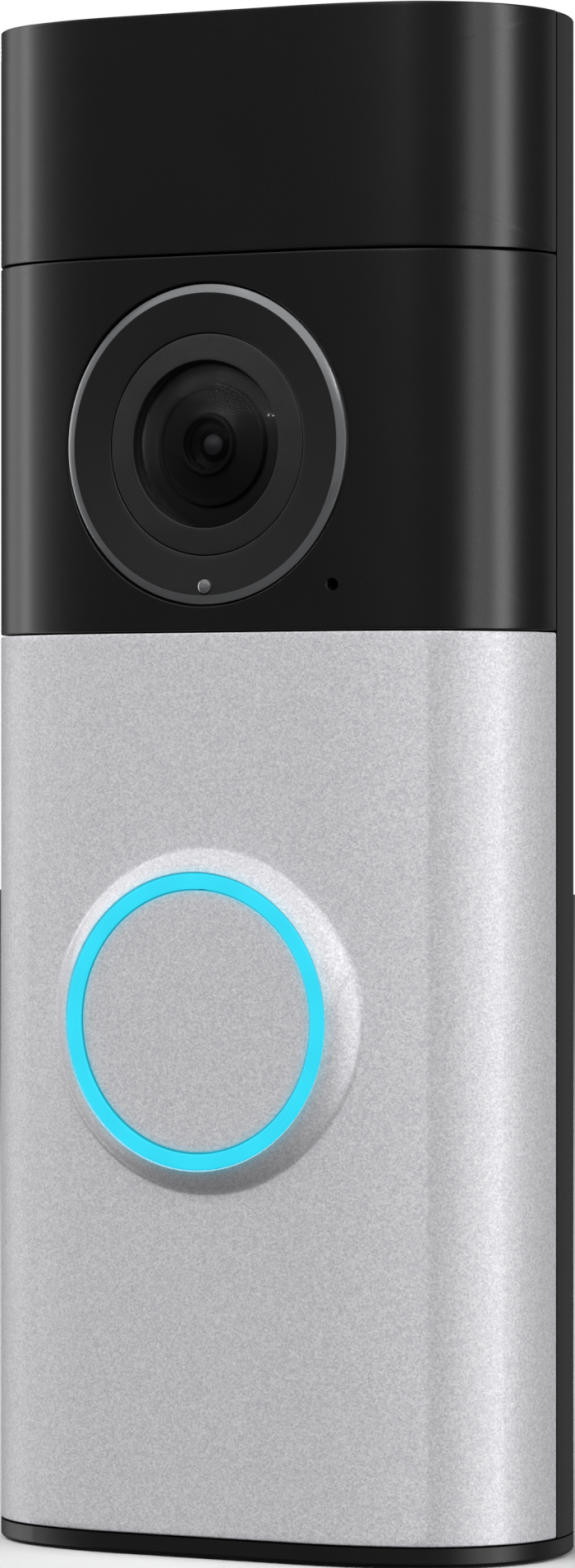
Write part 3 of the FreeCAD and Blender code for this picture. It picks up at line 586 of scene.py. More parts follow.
button_box = np.array(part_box("button_cap")) / MM
face = button_box[0, 1] + body_depth
BUTTON_RADIUS = HALO_INNER - 0.12
SKIN = 1.5
hook_front = flange_back + 0.1
hook_back = hook_front + 0.8
stem_end = button_box[1, 1] + body_depth
cup = rounded([(0, face), (BUTTON_RADIUS, face), (BUTTON_RADIUS, hook_back),
               (BUTTON_RADIUS - 1, hook_back), (BUTTON_RADIUS - 1, face + SKIN), (0, face + SKIN)],
              [0, 0.12, 0.1, 0.1, 0.2, 0], 7)


def spread_out(outline, spacing):
    """The outline with long straight stretches divided, so that no step is longer than spacing."""
    result = [outline[:1]]
    for start, end in zip(outline[:-1], outline[1:]):
        steps = max(1, math.ceil(np.linalg.norm(end - start) / spacing))
        result.append(start + (end - start) * np.arange(1, steps + 1)[:, None] / steps)
    return np.concatenate(result)


def turned_bar(low, high, degrees, x, z):
    """A small rounded block swung about the axis along depth at x, z."""
    grid = bar(low, high)
    turn = math.radians(degrees)
    across, up = grid[..., 0].copy(), grid[..., 2].copy()
    grid[..., 0] = x + across * math.cos(turn) + up * math.sin(turn)
    grid[..., 2] = z - across * math.sin(turn) + up * math.cos(turn)
    return grid


hooks = [turned_bar((-2, hook_front, BUTTON_RADIUS - 1.2), (2, hook_back, HALO_OUTER - 0.3), turn,
                    0, button_z) for turn in (60, 180, 300)]
webs = [turned_bar((-BUTTON_RADIUS + 0.8, face + SKIN - 0.2, -0.5),
                   (BUTTON_RADIUS - 0.8, face + SKIN + 1.2, 0.5), turn, 0, button_z)
        for turn in (0, 90)]
stem = small_post(0, button_z, 1.4, face + SKIN - 0.3, stem_end)
make_piece("button_face", [lathe(spread_out(cup, 0.6), 0, button_z, 320), stem, *hooks, *webs],
           "button", "satin_nickel", "button_cap")

# %% [markdown]
# ## The camera's bezel, trim and glass
#
# A dark, slightly dished disc with a polished chamfer fills the opening. A second disc, which
# falls away a little towards its edge, sits inside it. Behind the clear dome stand the stepped
# barrel and two lens elements. Light catches on each step, so every ridge and groove here is a
# real one. A picture of a lens with painted circles would look flat as soon as the camera moved.

# %% The bezel and the trim
BEZEL_RIM = LENS_OPENING - BEZEL_GAP
CHAMFER = 0.68
CHAMFER_FALL = 0.22          # how much deeper the chamfer's outer edge is than its inner edge
BEZEL_BORE = 9.1
bezel_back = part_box("lens_bezel")[1].y / MM + body_depth
BEZEL_DISH = 0.35            # the face lies this much deeper at its bore than at its rim
flange_face = bezel_back - 0.85
bezel_outline = rounded([(BEZEL_BORE, bezel_back), (BEZEL_BORE, BEZEL_DISH), (BEZEL_RIM - CHAMFER, 0),
                         (BEZEL_RIM, CHAMFER_FALL), (BEZEL_RIM, flange_face),
                         (bezel_flange, flange_face), (bezel_flange, bezel_back)],
                        [0.05, 0.08, 0.02, 0.03, 0.05, 0.05, 0.05], 5)
bezel = make_piece("lens_bezel_disc", [lathe(spread_out(bezel_outline, 0.5), 0, lens_z, 360)],
                   "housing", "bezel_acrylic", "lens_bezel")
sensor = np.array(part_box("sensor_window")).mean(axis=0) / MM
BEAD_HOLE = 0.68
drill(bezel, 0.0, sensor[2], BEAD_HOLE, -0.05, DRILL_END)

trim_box = np.array(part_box("lens_trim")) / MM
trim_front, trim_back = trim_box[0, 1] + body_depth, trim_box[1, 1] + body_depth
TRIM_RADIUS = BEZEL_BORE - 0.07
TRIM_BORE = 6.85
TRIM_FALL = 0.25             # the outer edge lies this much deeper than the inner edge
SHELF_BORE = TRIM_BORE - 1.75    # a shelf behind the window's edge
SHELF_DEPTH = 1.5
trim_outline = rounded([(SHELF_BORE, trim_back), (SHELF_BORE, SHELF_DEPTH), (TRIM_BORE, SHELF_DEPTH),
                        (TRIM_BORE, trim_front), (TRIM_RADIUS, trim_front + TRIM_FALL),
                        (TRIM_RADIUS, trim_back)], [0.05, 0.05, 0.05, 0.1, 0.08, 0.05], 5)
make_piece("lens_trim_disc", [lathe(spread_out(trim_outline, 0.3), 0, lens_z, 320)],
           "housing", "trim_anodised", "lens_trim")

# %% [markdown]
# A dome and a lens element are each part of a ball, which a radius and a bulge define. A cap cut
# from a whole ball would do too, but its rows crowd at the pole, and these are even. The barrel
# stands close under the dome and rises in steps towards its middle.

# %% The dome, the barrel and the lens elements
def cap_of_ball(radius, edge, bulge, steps=24):
    """(radius, depth) points from the pole to the edge of a ball's cap. The ball's radius is
    (radius squared + bulge squared) / (2 bulge), and the angle from the axis grows evenly."""
    ball = (radius ** 2 + bulge ** 2) / (2 * bulge)
    angle = np.linspace(0, math.asin(radius / ball), steps)
    return np.column_stack([ball * np.sin(angle), edge - bulge + ball * (1 - np.cos(angle))])


window_box = np.array(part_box("lens_window")) / MM
apex = window_box[0, 1] + body_depth
WINDOW_RADIUS = window_box[1, 0]
WINDOW_THICKNESS = 0.7
WINDOW_BULGE = 1.5
edge = apex + WINDOW_BULGE
dome = np.concatenate([cap_of_ball(WINDOW_RADIUS, edge, WINDOW_BULGE),
                       cap_of_ball(WINDOW_RADIUS - 0.02, edge + WINDOW_THICKNESS, WINDOW_BULGE)[::-1]])
make_piece("lens_window_dome", [lathe(dome, 0, lens_z, 240)], "housing", "lens_glass", "lens_window")

barrel_box = np.array(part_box("lens_barrel")) / MM
barrel_back = barrel_box[1, 1] + body_depth
BARREL_RADIUS = barrel_box[1, 0]
BARREL_FRONT = 0.95          # the outer step; the others are counted from it
ridges = [(1.3, barrel_back), (1.3, 1.0), (1.5, 0.78), (2.1, 0.7), (2.16, -0.6), (2.46, -0.62),
          (2.6, -0.1), (4.5, 0.25), (4.62, 0.0), (BARREL_RADIUS, 0.0), (BARREL_RADIUS, barrel_back)]
steps = [(radius, depth if depth == barrel_back else BARREL_FRONT + depth) for radius, depth in ridges]
make_piece("lens_barrel_steps", [lathe(rounded(steps, [0.05] * len(steps), 4), 0, lens_z, 200)],
           "housing", "barrel_black", "lens_barrel")


def plano_convex(radius, edge, bulge, thickness, steps):
    """The outline of an element that bulges to the front and is flat behind."""
    flat_back = [[radius, edge + thickness], [0, edge + thickness]]
    return np.concatenate([cap_of_ball(radius, edge, bulge, steps), flat_back])


element_edge = BARREL_FRONT - 0.1
element = plano_convex(2.05, element_edge, bulge=0.5, thickness=0.2, steps=24)
inner = plano_convex(0.85, element_edge + 0.6, bulge=0.35, thickness=0.2, steps=14)
make_piece("front_element_glass", [lathe(element, 0, lens_z, 120)], "housing", "lens_glass",
           "front_element")
# The inner element wears the smoked grey: on this glass element the grey is a painted reflection.
make_piece("inner_element_glass", [lathe(inner, 0, lens_z, 80)], "housing", "sensor_clear")
bead = np.concatenate([cap_of_ball(0.57, 0.0, 0.14, 12), [[0.6, 0.12], [0.6, 2.3], [0, 2.3]]])
make_piece("sensor_bead", [lathe(bead, 0, sensor[2], 64)], "housing", "sensor_clear", "sensor_window")

# %% [markdown]
# ## How the finishes are made
#
# Each finish starts from a real material and the way its surface was made. Colours are written
# as they look on a screen and turned to linear light by one function. Patterns read Object
# coordinates, which are metres here, so a grain of a tenth of a millimetre is a noise whose scale
# is one over that size. One helper adds a node with its settings and links.

# %% Helpers for the finishes
finishes = {}


def linear(colour):
    """A screen colour such as #8899aa as linear red, green, blue and 1. Each channel c is
    c/12.92 below 0.04045, and ((c + 0.055) / 1.055) to the power 2.4 above."""
    channels = [int(colour[place:place + 2], 16) / 255 for place in (1, 3, 5)]
    return [c / 12.92 if c <= 0.04045 else ((c + 0.055) / 1.055) ** 2.4 for c in channels] + [1.0]


def add(tree, kind, settings, **options):
    """Adds a node. Options are its own properties. Settings are its inputs by name or number: a
    socket is linked, and anything else is a value."""
    made = tree.nodes.new(kind)
    for name, value in options.items():
        setattr(made, name, value)
    for name, value in settings.items():
        if isinstance(value, bpy.types.NodeSocket):
            tree.links.new(value, made.inputs[name])
        else:
            made.inputs[name].default_value = value
    return made


def new_finish(slot, name):
    """An empty material for a slot, its tree and its Object coordinates."""
    material = finishes[slot] = bpy.data.materials.new(name)
    material.use_nodes = True
    material.node_tree.nodes.clear()
    place = add(material.node_tree, "ShaderNodeTexCoord", {}).outputs["Object"]
    return material, material.node_tree, place


def wear(tree, shader, material, colour):
    """Joins a finished shader to the output, and keeps a plain colour for other programs."""
    add(tree, "ShaderNodeOutputMaterial", {"Surface": shader.outputs[0]})
    material.diffuse_color = colour
    print(material.name, "has", len(tree.nodes), "nodes")


def distance_from_axis(tree, place, z):
    """The distance from an axis along depth at a height z in mm: the coordinates less the axis's
    place, with their depth multiplied by nothing, and the length of what is left."""
    moved = add(tree, "ShaderNodeVectorMath", {0: place, 1: (0, 0, z * MM)}, operation="SUBTRACT")
    level = add(tree, "ShaderNodeVectorMath", {0: moved.outputs[0], 1: (1, 0, 1)}, operation="MULTIPLY")
    return add(tree, "ShaderNodeVectorMath", {0: level.outputs[0]}, operation="LENGTH").outputs["Value"]


def grained(slot, name, dark, light, grain, roughness, relief, metallic=0.0, ior=1.5, level=0.5,
            patch=6.0, coat=0.0, stretch=(1, 1, 1)):
    """A surface with a fine grain. `grain` is its size in mm, and its colour runs from dark to
    light with a second, slower noise of `patch` mm. Roughness is a (low, high) pair that follows
    the grain, and relief is how deep the grain is, in mm."""
    material, tree, place = new_finish(slot, name)
    laid = add(tree, "ShaderNodeMapping", {"Vector": place, "Scale": stretch}).outputs[0]
    fine = add(tree, "ShaderNodeTexNoise", {"Vector": laid, "Scale": 1 / (grain * MM), "Detail": 2.0})
    slow = add(tree, "ShaderNodeTexNoise", {"Vector": place, "Scale": 1 / (patch * MM), "Detail": 3.0})
    both = add(tree, "ShaderNodeMath", {0: fine.outputs[0], 1: slow.outputs[0]}, operation="ADD")
    share = add(tree, "ShaderNodeMapRange", {"Value": both.outputs[0], "From Min": 0.6, "From Max": 1.4})
    colour = add(tree, "ShaderNodeMix", {0: share.outputs[0], 6: linear(dark), 7: linear(light)},
                 data_type="RGBA")
    rough = add(tree, "ShaderNodeMapRange", {"Value": fine.outputs[0], "From Min": 0.3,
                                             "From Max": 0.7, "To Min": roughness[0],
                                             "To Max": roughness[1]})
    bump = add(tree, "ShaderNodeBump", {"Height": fine.outputs[0], "Distance": relief * MM,
                                        "Strength": 0.6})
    shader = add(tree, "ShaderNodeBsdfPrincipled",
                 {"Base Color": colour.outputs[2], "Roughness": rough.outputs[0],
                  "Metallic": metallic, "IOR": ior, "Specular IOR Level": level,
                  "Coat Weight": coat, "Coat Roughness": 0.12, "Normal": bump.outputs[0]})
    wear(tree, shader, material, linear(dark))


# %% [markdown]
# ## Moulded plastics and rubber
#
# Most parts are moulded. A mould's surface is spark eroded, which leaves a very fine even grain,
# and the part takes it over. A grain of 0.1 mm is too fine to be seen as dots, and shows as
# softness: it turns a reflection into a broad stripe. The harder the plastic and the finer the
# grain, the tighter the stripe. Image textures would do, but a noise never repeats or runs out.

# %% Moulded plastics and rubber
# Moulded ABS, spark-eroded mould: nearly black, with clear but soft upright stripes of light.
grained("cover_black", "spark_eroded_ABS", "#0f0f0f", "#131313", grain=0.09,
        roughness=(0.27, 0.34), relief=0.004, level=0.5)
# Moulded ASA, a tougher plastic from a coarser mould: duller, so the housing stays behind.
grained("housing_black", "moulded_ASA", "#0d0d0d", "#131313", grain=0.10,
        roughness=(0.38, 0.48), relief=0.005)
# Moulded nylon, dyed grey: matt, with the slightly cloudy look of glass-filled nylon.
grained("chassis_grey", "moulded_nylon", "#3c3f42", "#494c50", grain=0.2,
        roughness=(0.5, 0.62), relief=0.01)
# Moulded epoxy, as round a chip: charcoal grey and powdery.
grained("chip_black", "moulded_epoxy", "#17181a", "#232427", grain=0.12,
        roughness=(0.45, 0.6), relief=0.006)
# Moulded silicone rubber: quite dull, and a little uneven.
grained("rubber_black", "moulded_silicone", "#111111", "#1c1c1c", grain=0.25,
        roughness=(0.7, 0.85), relief=0.02)
# Turned and blackened aluminium: dark, and smooth enough for each step to catch a line of light.
grained("barrel_black", "turned_black_aluminium", "#161617", "#202021", grain=0.08,
        roughness=(0.16, 0.26), relief=0.002)

# %% [markdown]
# ## The silver lacquer
#
# The faceplate and the button wear a satin nickel finish: metal flakes of about a tenth of a
# millimetre in a clear binder over a blasted surface. Each flake lies at its own angle, so the
# surface sparkles finely and still looks evenly lit. Cells of a Voronoi pattern stand for the
# flakes, each with its own brightness, and a noise tips the surface under them. Real flakes are
# finer still, and are drawn as coarse as they need to be to show. Next to the glowing band a
# painted cyan glow, an emission and a tint of the lacquer's colour, fades within a millimetre.

# %% The silver lacquer
FLAKE = 0.10                 # in mm
GLOW_COLOUR = "#34dff9"
HALF_BAND = (HALO_OUTER - HALO_INNER) / 2
# The painted glow round the band: a cyan emission and a tint of the lacquer's colour.
PAINTED_GLOW_REACH = 0.28           # in mm; the spill falls to a third over this distance
PAINTED_GLOW_STRENGTH = 0.40
PAINTED_GLOW_TINT = 0.75            # how far the lacquer's own colour turns towards the light's
PAINTED_GLOW_END = 4.0              # after this many reaches nothing is left of it

# Satin nickel lacquer, sprayed: pale silver with a fine sparkle and soft, wide highlights.
material, tree, place = new_finish("satin_nickel", "satin_nickel_lacquer")
flakes = add(tree, "ShaderNodeTexVoronoi", {"Vector": place, "Scale": 1 / (FLAKE * MM)})
coarse = add(tree, "ShaderNodeTexVoronoi", {"Vector": place, "Scale": 1 / (1.6 * FLAKE * MM)})
each = add(tree, "ShaderNodeSeparateColor", {0: flakes.outputs["Color"]})
pair = add(tree, "ShaderNodeSeparateColor", {0: coarse.outputs["Color"]})
mixed = add(tree, "ShaderNodeMath", {0: each.outputs[0], 1: pair.outputs[0]}, operation="ADD")
share = add(tree, "ShaderNodeMapRange", {"Value": mixed.outputs[0], "From Max": 2.0})
colour = add(tree, "ShaderNodeMix", {0: share.outputs[0], 6: linear("#c6c5cb"), 7: linear("#fbfafd")},
             data_type="RGBA")
rough = add(tree, "ShaderNodeMapRange", {"Value": each.outputs[1], "To Min": 0.40, "To Max": 0.50})
blasted = add(tree, "ShaderNodeTexNoise", {"Vector": place, "Scale": 1 / (0.12 * MM), "Detail": 2.0})
bump = add(tree, "ShaderNodeBump", {"Height": blasted.outputs[0], "Distance": 0.03 * MM, "Strength": 0.5})
# Painted cyan glow: its emission and its tint of the base colour fade with distance from the band.
radius = distance_from_axis(tree, place, button_z)
off_band = add(tree, "ShaderNodeMath", {0: radius, 1: (HALO_OUTER + HALO_INNER) / 2 * MM},
               operation="SUBTRACT")
away = add(tree, "ShaderNodeMath", {0: off_band.outputs[0]}, operation="ABSOLUTE")
painted_glow_fade = add(tree, "ShaderNodeMapRange", {"Value": away.outputs[0],
                                        "From Min": HALF_BAND * MM,
                                        "From Max": (HALF_BAND + PAINTED_GLOW_END * PAINTED_GLOW_REACH) * MM,
                                        "To Min": 0.0, "To Max": -PAINTED_GLOW_END})
painted_glow = add(tree, "ShaderNodeMath", {0: painted_glow_fade.outputs[0]}, operation="EXPONENT")
strength = add(tree, "ShaderNodeMapRange", {"Value": painted_glow.outputs[0], "From Min": math.exp(-PAINTED_GLOW_END),
                                            "To Max": PAINTED_GLOW_STRENGTH})
tint = add(tree, "ShaderNodeMath", {0: painted_glow.outputs[0], 1: PAINTED_GLOW_TINT}, operation="MULTIPLY")
painted_glow_colour = add(tree, "ShaderNodeMix", {0: tint.outputs[0], 6: colour.outputs[2], 7: linear("#2fa9bf")},
             data_type="RGBA")
shader = add(tree, "ShaderNodeBsdfPrincipled",
             {"Base Color": painted_glow_colour.outputs[2], "Metallic": 0.2, "Roughness": rough.outputs[0],
              "Normal": bump.outputs[0], "Emission Color": linear(GLOW_COLOUR),
              "Emission Strength": strength.outputs[0]})
wear(tree, shader, material, linear("#c2c1c7"))

# %% [markdown]
# ## The glowing band
#
# Opal acrylic, lit from behind by twelve lamps through a clear guide. It gives off its own light
# and hardly reflects any. The opal spreads the light so well that only a trace of each lamp is
# left: a wave round the band that is a few percent brighter over each one.

# %% The glowing band
LAMPS = 12
# Opal acrylic, moulded: milky, and so evenly bright that it seems to have no surface.
material, tree, place = new_finish("halo_acrylic", "opal_acrylic")
moved = add(tree, "ShaderNodeVectorMath", {0: place, 1: (0, 0, button_z * MM)}, operation="SUBTRACT")
parts = add(tree, "ShaderNodeSeparateXYZ", {0: moved.outputs[0]})
turn = add(tree, "ShaderNodeMath", {0: parts.outputs[0], 1: parts.outputs[2]}, operation="ARCTAN2")
lamps = add(tree, "ShaderNodeMath", {0: turn.outputs[0], 1: LAMPS}, operation="MULTIPLY")
wave = add(tree, "ShaderNodeMath", {0: lamps.outputs[0]}, operation="COSINE")
cloud = add(tree, "ShaderNodeTexNoise", {"Vector": place, "Scale": 1 / (0.8 * MM), "Detail": 2.0})
light = add(tree, "ShaderNodeMapRange", {"Value": wave.outputs[0], "From Min": -1.0, "To Min": 0.90,
                                         "To Max": 0.94})
rough = add(tree, "ShaderNodeMapRange", {"Value": cloud.outputs[0], "To Min": 0.4, "To Max": 0.55})
front_y = (plate_front - body_depth) * MM
at_face = add(tree, "ShaderNodeMapRange", {"Value": parts.outputs[1], "From Min": front_y + 0.12 * MM,
                                           "From Max": front_y + 0.30 * MM, "To Min": 1.0,
                                           "To Max": 0.4})
given = add(tree, "ShaderNodeMath", {0: light.outputs[0], 1: at_face.outputs[0]}, operation="MULTIPLY")
shader = add(tree, "ShaderNodeBsdfPrincipled",
             {"Base Color": linear("#06424c"), "Roughness": rough.outputs[0], "IOR": 1.49,
              "Emission Color": linear(GLOW_COLOUR), "Emission Strength": given.outputs[0]})
wear(tree, shader, material, linear(GLOW_COLOUR))

# %% [markdown]
# ## The camera's finishes
#
# The bezel is dark acrylic printed on its back, so its face is even and slightly grainy. The trim
# is black anodised aluminium, turned on a lathe, whose fine grooves stretch a reflection across
# them. The dome and the elements are glass: a clear body whose surface mirrors more at a flat
# angle, which is a Fresnel node's work. Letting light straight through is quicker and cleaner
# than bending it, and behind so thin a dome the eye can't tell.

# %% The camera's finishes
# Anodised aluminium, turned and blasted: a grey sheen that is lighter than the plastic beside it.
grained("trim_anodised", "anodised_aluminium", "#3a3a3b", "#4b4b4d", grain=0.1,
        roughness=(0.34, 0.44), relief=0.004, metallic=0.7)

# Acrylic, printed black on its back, with a diamond-cut chamfer: a dark even face inside a thin
# bright line. The line is partly real reflection and partly a painted highlight in its pale grey.
material, tree, place = new_finish("bezel_acrylic", "printed_acrylic")
fine = add(tree, "ShaderNodeTexNoise", {"Vector": place, "Scale": 1 / (0.13 * MM), "Detail": 2.0})
colour = add(tree, "ShaderNodeMix", {0: fine.outputs[0], 6: linear("#0f0f10"), 7: linear("#1d1d1e")},
             data_type="RGBA")
radius = distance_from_axis(tree, place, lens_z)
cut = add(tree, "ShaderNodeMapRange", {"Value": radius, "From Min": (BEZEL_RIM - CHAMFER - 0.04) * MM,
                                       "From Max": (BEZEL_RIM - CHAMFER + 0.02) * MM})
# The chamfer's pale grey is a painted highlight; its half metal and lower roughness reflect for real.
face_and_painted_highlight = add(tree, "ShaderNodeMix", {0: cut.outputs[0], 6: colour.outputs[2], 7: linear("#808183")},
            data_type="RGBA")
bare = add(tree, "ShaderNodeMath", {0: cut.outputs[0], 1: 0.5}, operation="MULTIPLY")
rough = add(tree, "ShaderNodeMapRange", {"Value": cut.outputs[0], "To Min": 0.36, "To Max": 0.2})
bump = add(tree, "ShaderNodeBump", {"Height": fine.outputs[0], "Distance": 0.006 * MM, "Strength": 0.6})
shader = add(tree, "ShaderNodeBsdfPrincipled",
             {"Base Color": face_and_painted_highlight.outputs[2], "Metallic": bare.outputs[0], "IOR": 1.49,
              "Specular IOR Level": 0.7,
              "Roughness": rough.outputs[0], "Normal": bump.outputs[0]})
wear(tree, shader, material, linear("#2a2a2b"))


def clear_glass(slot, name, tint, roughness, haze_roughness, haze_share, index=1.5):
    """Clear glass: a surface that lets light straight through, tinted, under a mirror that grows
    towards flat angles. Part of the mirror is blurred, as a coating and handling leave it, and a
    slow noise varies both."""
    material, tree, place = new_finish(slot, name)
    cloud = add(tree, "ShaderNodeTexNoise", {"Vector": place, "Scale": 1 / (1.5 * MM), "Detail": 3.0})
    sharp = add(tree, "ShaderNodeMapRange", {"Value": cloud.outputs[0], "To Min": roughness * 0.6,
                                             "To Max": roughness * 1.4})
    soft = add(tree, "ShaderNodeMapRange", {"Value": cloud.outputs[0], "To Min": haze_roughness * 0.9,
                                            "To Max": haze_roughness * 1.1})
    through = add(tree, "ShaderNodeBsdfTransparent", {"Color": linear(tint)})
    mirror = add(tree, "ShaderNodeBsdfGlossy", {"Roughness": sharp.outputs[0]})
    haze = add(tree, "ShaderNodeBsdfGlossy", {"Roughness": soft.outputs[0]})
    both = add(tree, "ShaderNodeMixShader", {0: haze_share, 1: mirror.outputs[0], 2: haze.outputs[0]})
    flat_angle = add(tree, "ShaderNodeFresnel", {"IOR": index})
    shader = add(tree, "ShaderNodeMixShader", {0: flat_angle.outputs[0], 1: through.outputs[0],
                                               2: both.outputs[0]})
    wear(tree, shader, material, linear(tint))


# Ground and coated glass: nearly invisible, with a faint haze of light. Its coating is why the
# index is lower than the 1.5 of bare glass.
clear_glass("lens_glass", "coated_glass", "#ebebec", 0.04, haze_roughness=0.3, haze_share=0.7,
            index=1.22)
# Moulded clear acrylic: see-through with bright edges.
clear_glass("guide_clear", "clear_acrylic", "#e8eef0", 0.12, haze_roughness=0.4, haze_share=0.3)
# Moulded smoked polycarbonate: a grey bead with a small sharp highlight.
# On the inner lens element this grey is a painted reflection of glass.
grained("sensor_clear", "smoked_polycarbonate_and_painted_reflection", "#5a5a5c", "#7a7a7d", grain=0.2,
        roughness=(0.12, 0.2), relief=0.002, coat=0.6)

# %% [markdown]
# ## What is inside
#
# The inside shows when the top cap and the faceplate are pulled off. Circuit boards are glass
# fibre under a dark green solder mask, with raised copper tracks. Cans and screws are plated
# steel, terminals are brass, and the ribbon is amber film. The speaker's mesh is woven wire.

# %% Metals, lamps and ribbon
# Tinned steel sheet, rolled: bright, with a faint grain along the sheet.
grained("shield_steel", "tinned_steel", "#9a9c9e", "#b2b4b6", grain=0.3,
        roughness=(0.28, 0.4), relief=0.004, metallic=1.0, stretch=(1, 1, 0.15))
# Zinc-plated steel: a cooler grey, slightly mottled.
grained("screw_steel", "zinc_plated_steel", "#8b8d90", "#aaacaf", grain=0.15,
        roughness=(0.25, 0.4), relief=0.004, metallic=1.0)
# Pressed nickel silver: pale, smooth and warm.
grained("switch_metal", "pressed_nickel_silver", "#b3b4b5", "#c7c8c9", grain=0.2,
        roughness=(0.25, 0.35), relief=0.003, metallic=1.0)
# Turned brass: yellow, with a satin shine.
grained("terminal_brass", "turned_brass", "#b08d4a", "#c9a660", grain=0.2,
        roughness=(0.25, 0.38), relief=0.004, metallic=1.0)
# Moulded lamp epoxy: creamy white and waxy.
grained("lamp_white", "moulded_lamp_epoxy", "#d9d8cf", "#efeee6", grain=0.3,
        roughness=(0.35, 0.5), relief=0.004)
# Polyimide film over copper, laminated: amber and glossy, with a grain along the strip.
grained("ribbon_amber", "polyimide_film", "#9a5a17", "#b36d22", grain=0.4,
        roughness=(0.25, 0.35), relief=0.003, stretch=(1, 1, 0.2))

# %% [markdown]
# A circuit board's tracks are raised copper under the mask, so a brick pattern gives both their
# paler green and their height. Its pads are bare: small round spots that are metal. Modelled
# tracks would need thousands of faces for something that is seen only through a gap.

# %% The circuit boards
# Glass fibre board, etched and masked: dark glossy green with golden spots.
material, tree, place = new_finish("circuit_board", "glass_fibre_board")
seen_from_front = add(tree, "ShaderNodeMapping", {"Vector": place, "Rotation": (math.pi / 2, 0, 0)})
tracks = add(tree, "ShaderNodeTexBrick", {"Vector": seen_from_front.outputs[0],
                                          "Scale": 1.0, "Mortar Size": 0.18 * MM,
                                          "Brick Width": 3.4 * MM, "Row Height": 0.9 * MM,
                                          "Mortar Smooth": 0.3})
pads = add(tree, "ShaderNodeTexVoronoi", {"Vector": seen_from_front.outputs[0], "Scale": 1 / (1.7 * MM)})
is_pad = add(tree, "ShaderNodeMapRange", {"Value": pads.outputs["Distance"], "From Min": 0.12,
                                          "From Max": 0.14, "To Min": 1.0, "To Max": 0.0})
mask = add(tree, "ShaderNodeMix", {0: tracks.outputs["Fac"], 6: linear("#0f3a24"),
                                   7: linear("#1b5a38")}, data_type="RGBA")
colour = add(tree, "ShaderNodeMix", {0: is_pad.outputs[0], 6: mask.outputs[2], 7: linear("#c9b37c")},
             data_type="RGBA")
bump = add(tree, "ShaderNodeBump", {"Height": tracks.outputs["Fac"], "Distance": 0.03 * MM,
                                    "Strength": 0.6})
shader = add(tree, "ShaderNodeBsdfPrincipled",
             {"Base Color": colour.outputs[2], "Metallic": is_pad.outputs[0], "Roughness": 0.35,
              "Normal": bump.outputs[0]})
wear(tree, shader, material, linear("#14452b"))

# %% [markdown]
# The speaker's mesh is woven from fine wire. A cosine wave in each direction makes the wires,
# and the higher of the two is the one on top. Real wires at this pitch would be thousands of
# thin tubes.

# %% The speaker's woven mesh
WIRE_PITCH = 0.5             # in mm
# Woven steel wire: a dark net with grey glints.
material, tree, place = new_finish("speaker_mesh", "woven_steel_mesh")
parts = add(tree, "ShaderNodeSeparateXYZ", {0: place})
waves = []
for axis in (1, 2):
    phase = add(tree, "ShaderNodeMath", {0: parts.outputs[axis], 1: 2 * math.pi / (WIRE_PITCH * MM)},
                operation="MULTIPLY")
    waves.append(add(tree, "ShaderNodeMath", {0: phase.outputs[0]}, operation="COSINE").outputs[0])
wires = add(tree, "ShaderNodeMath", {0: waves[0], 1: waves[1]}, operation="MAXIMUM")
share = add(tree, "ShaderNodeMapRange", {"Value": wires.outputs[0], "From Min": 0.2, "From Max": 0.6})
colour = add(tree, "ShaderNodeMix", {0: share.outputs[0], 6: linear("#080808"), 7: linear("#55585b")},
             data_type="RGBA")
bump = add(tree, "ShaderNodeBump", {"Height": wires.outputs[0], "Distance": 0.05 * MM, "Strength": 0.8})
shader = add(tree, "ShaderNodeBsdfPrincipled",
             {"Base Color": colour.outputs[2], "Metallic": 0.8, "Roughness": 0.4,
              "Normal": bump.outputs[0]})
wear(tree, shader, material, linear("#3a3c3e"))

# %% [markdown]
# ## Every piece gets its finish
#
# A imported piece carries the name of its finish, and a new piece was given one when it was made.

# %% Every piece gets its finish
for node in nodes.values():
    node.data.materials[0] = finishes[node.data.materials[0].name]
for piece in [o for o in bpy.context.scene.objects if "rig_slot" in o]:
    piece.data.materials.clear()
    piece.data.materials.append(finishes[piece["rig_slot"]])
print("finishes", len(finishes))

# %% [markdown]
# ## The studio
#
# A pale floor and a pale surround, which light almost nothing: as in a real studio, the light
# comes from soft boxes. The floor is kept out of reflections and gives no light back, as
# black cards beside the object would do, so each highlight is one that a box draws.

# %% The floor and the surround
def floor_grid(half, rows=3):
    """A flat square: x and y run over an even grid, and z stays at the object's lowest point."""
    line = np.linspace(-half, half, rows)
    x, y = np.meshgrid(line, line)
    return np.stack([x, y, 0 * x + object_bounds()[0].z - 0.0002], axis=-1)


square = floor_grid(3.0)
number = np.arange(square.shape[0] * square.shape[1]).reshape(square.shape[:2])
faces = np.stack([number[:-1, :-1], number[:-1, 1:], number[1:, 1:], number[1:, :-1]], axis=-1)
mesh = bpy.data.meshes.new("floor")
mesh.from_pydata(square.reshape(-1, 3).tolist(), [], faces.reshape(-1, 4).tolist())
floor = bpy.data.objects.new("floor", mesh)
bpy.context.scene.collection.objects.link(floor)
floor.visible_glossy = False
floor.visible_diffuse = False
# Painted plaster, rolled: white and matt, with a hardly visible cloudiness.
material, tree, place = new_finish("floor", "painted_plaster")
cloud = add(tree, "ShaderNodeTexNoise", {"Vector": place, "Scale": 6.0, "Detail": 2.0})
colour = add(tree, "ShaderNodeMix", {0: cloud.outputs[0], 6: linear("#f4f4f4"), 7: linear("#fafafa")},
             data_type="RGBA")
shader = add(tree, "ShaderNodeBsdfPrincipled", {"Base Color": colour.outputs[2], "Roughness": 0.9,
                                                "Specular IOR Level": 0.1})
wear(tree, shader, material, linear("#f5f5f5"))
floor.data.materials.append(material)

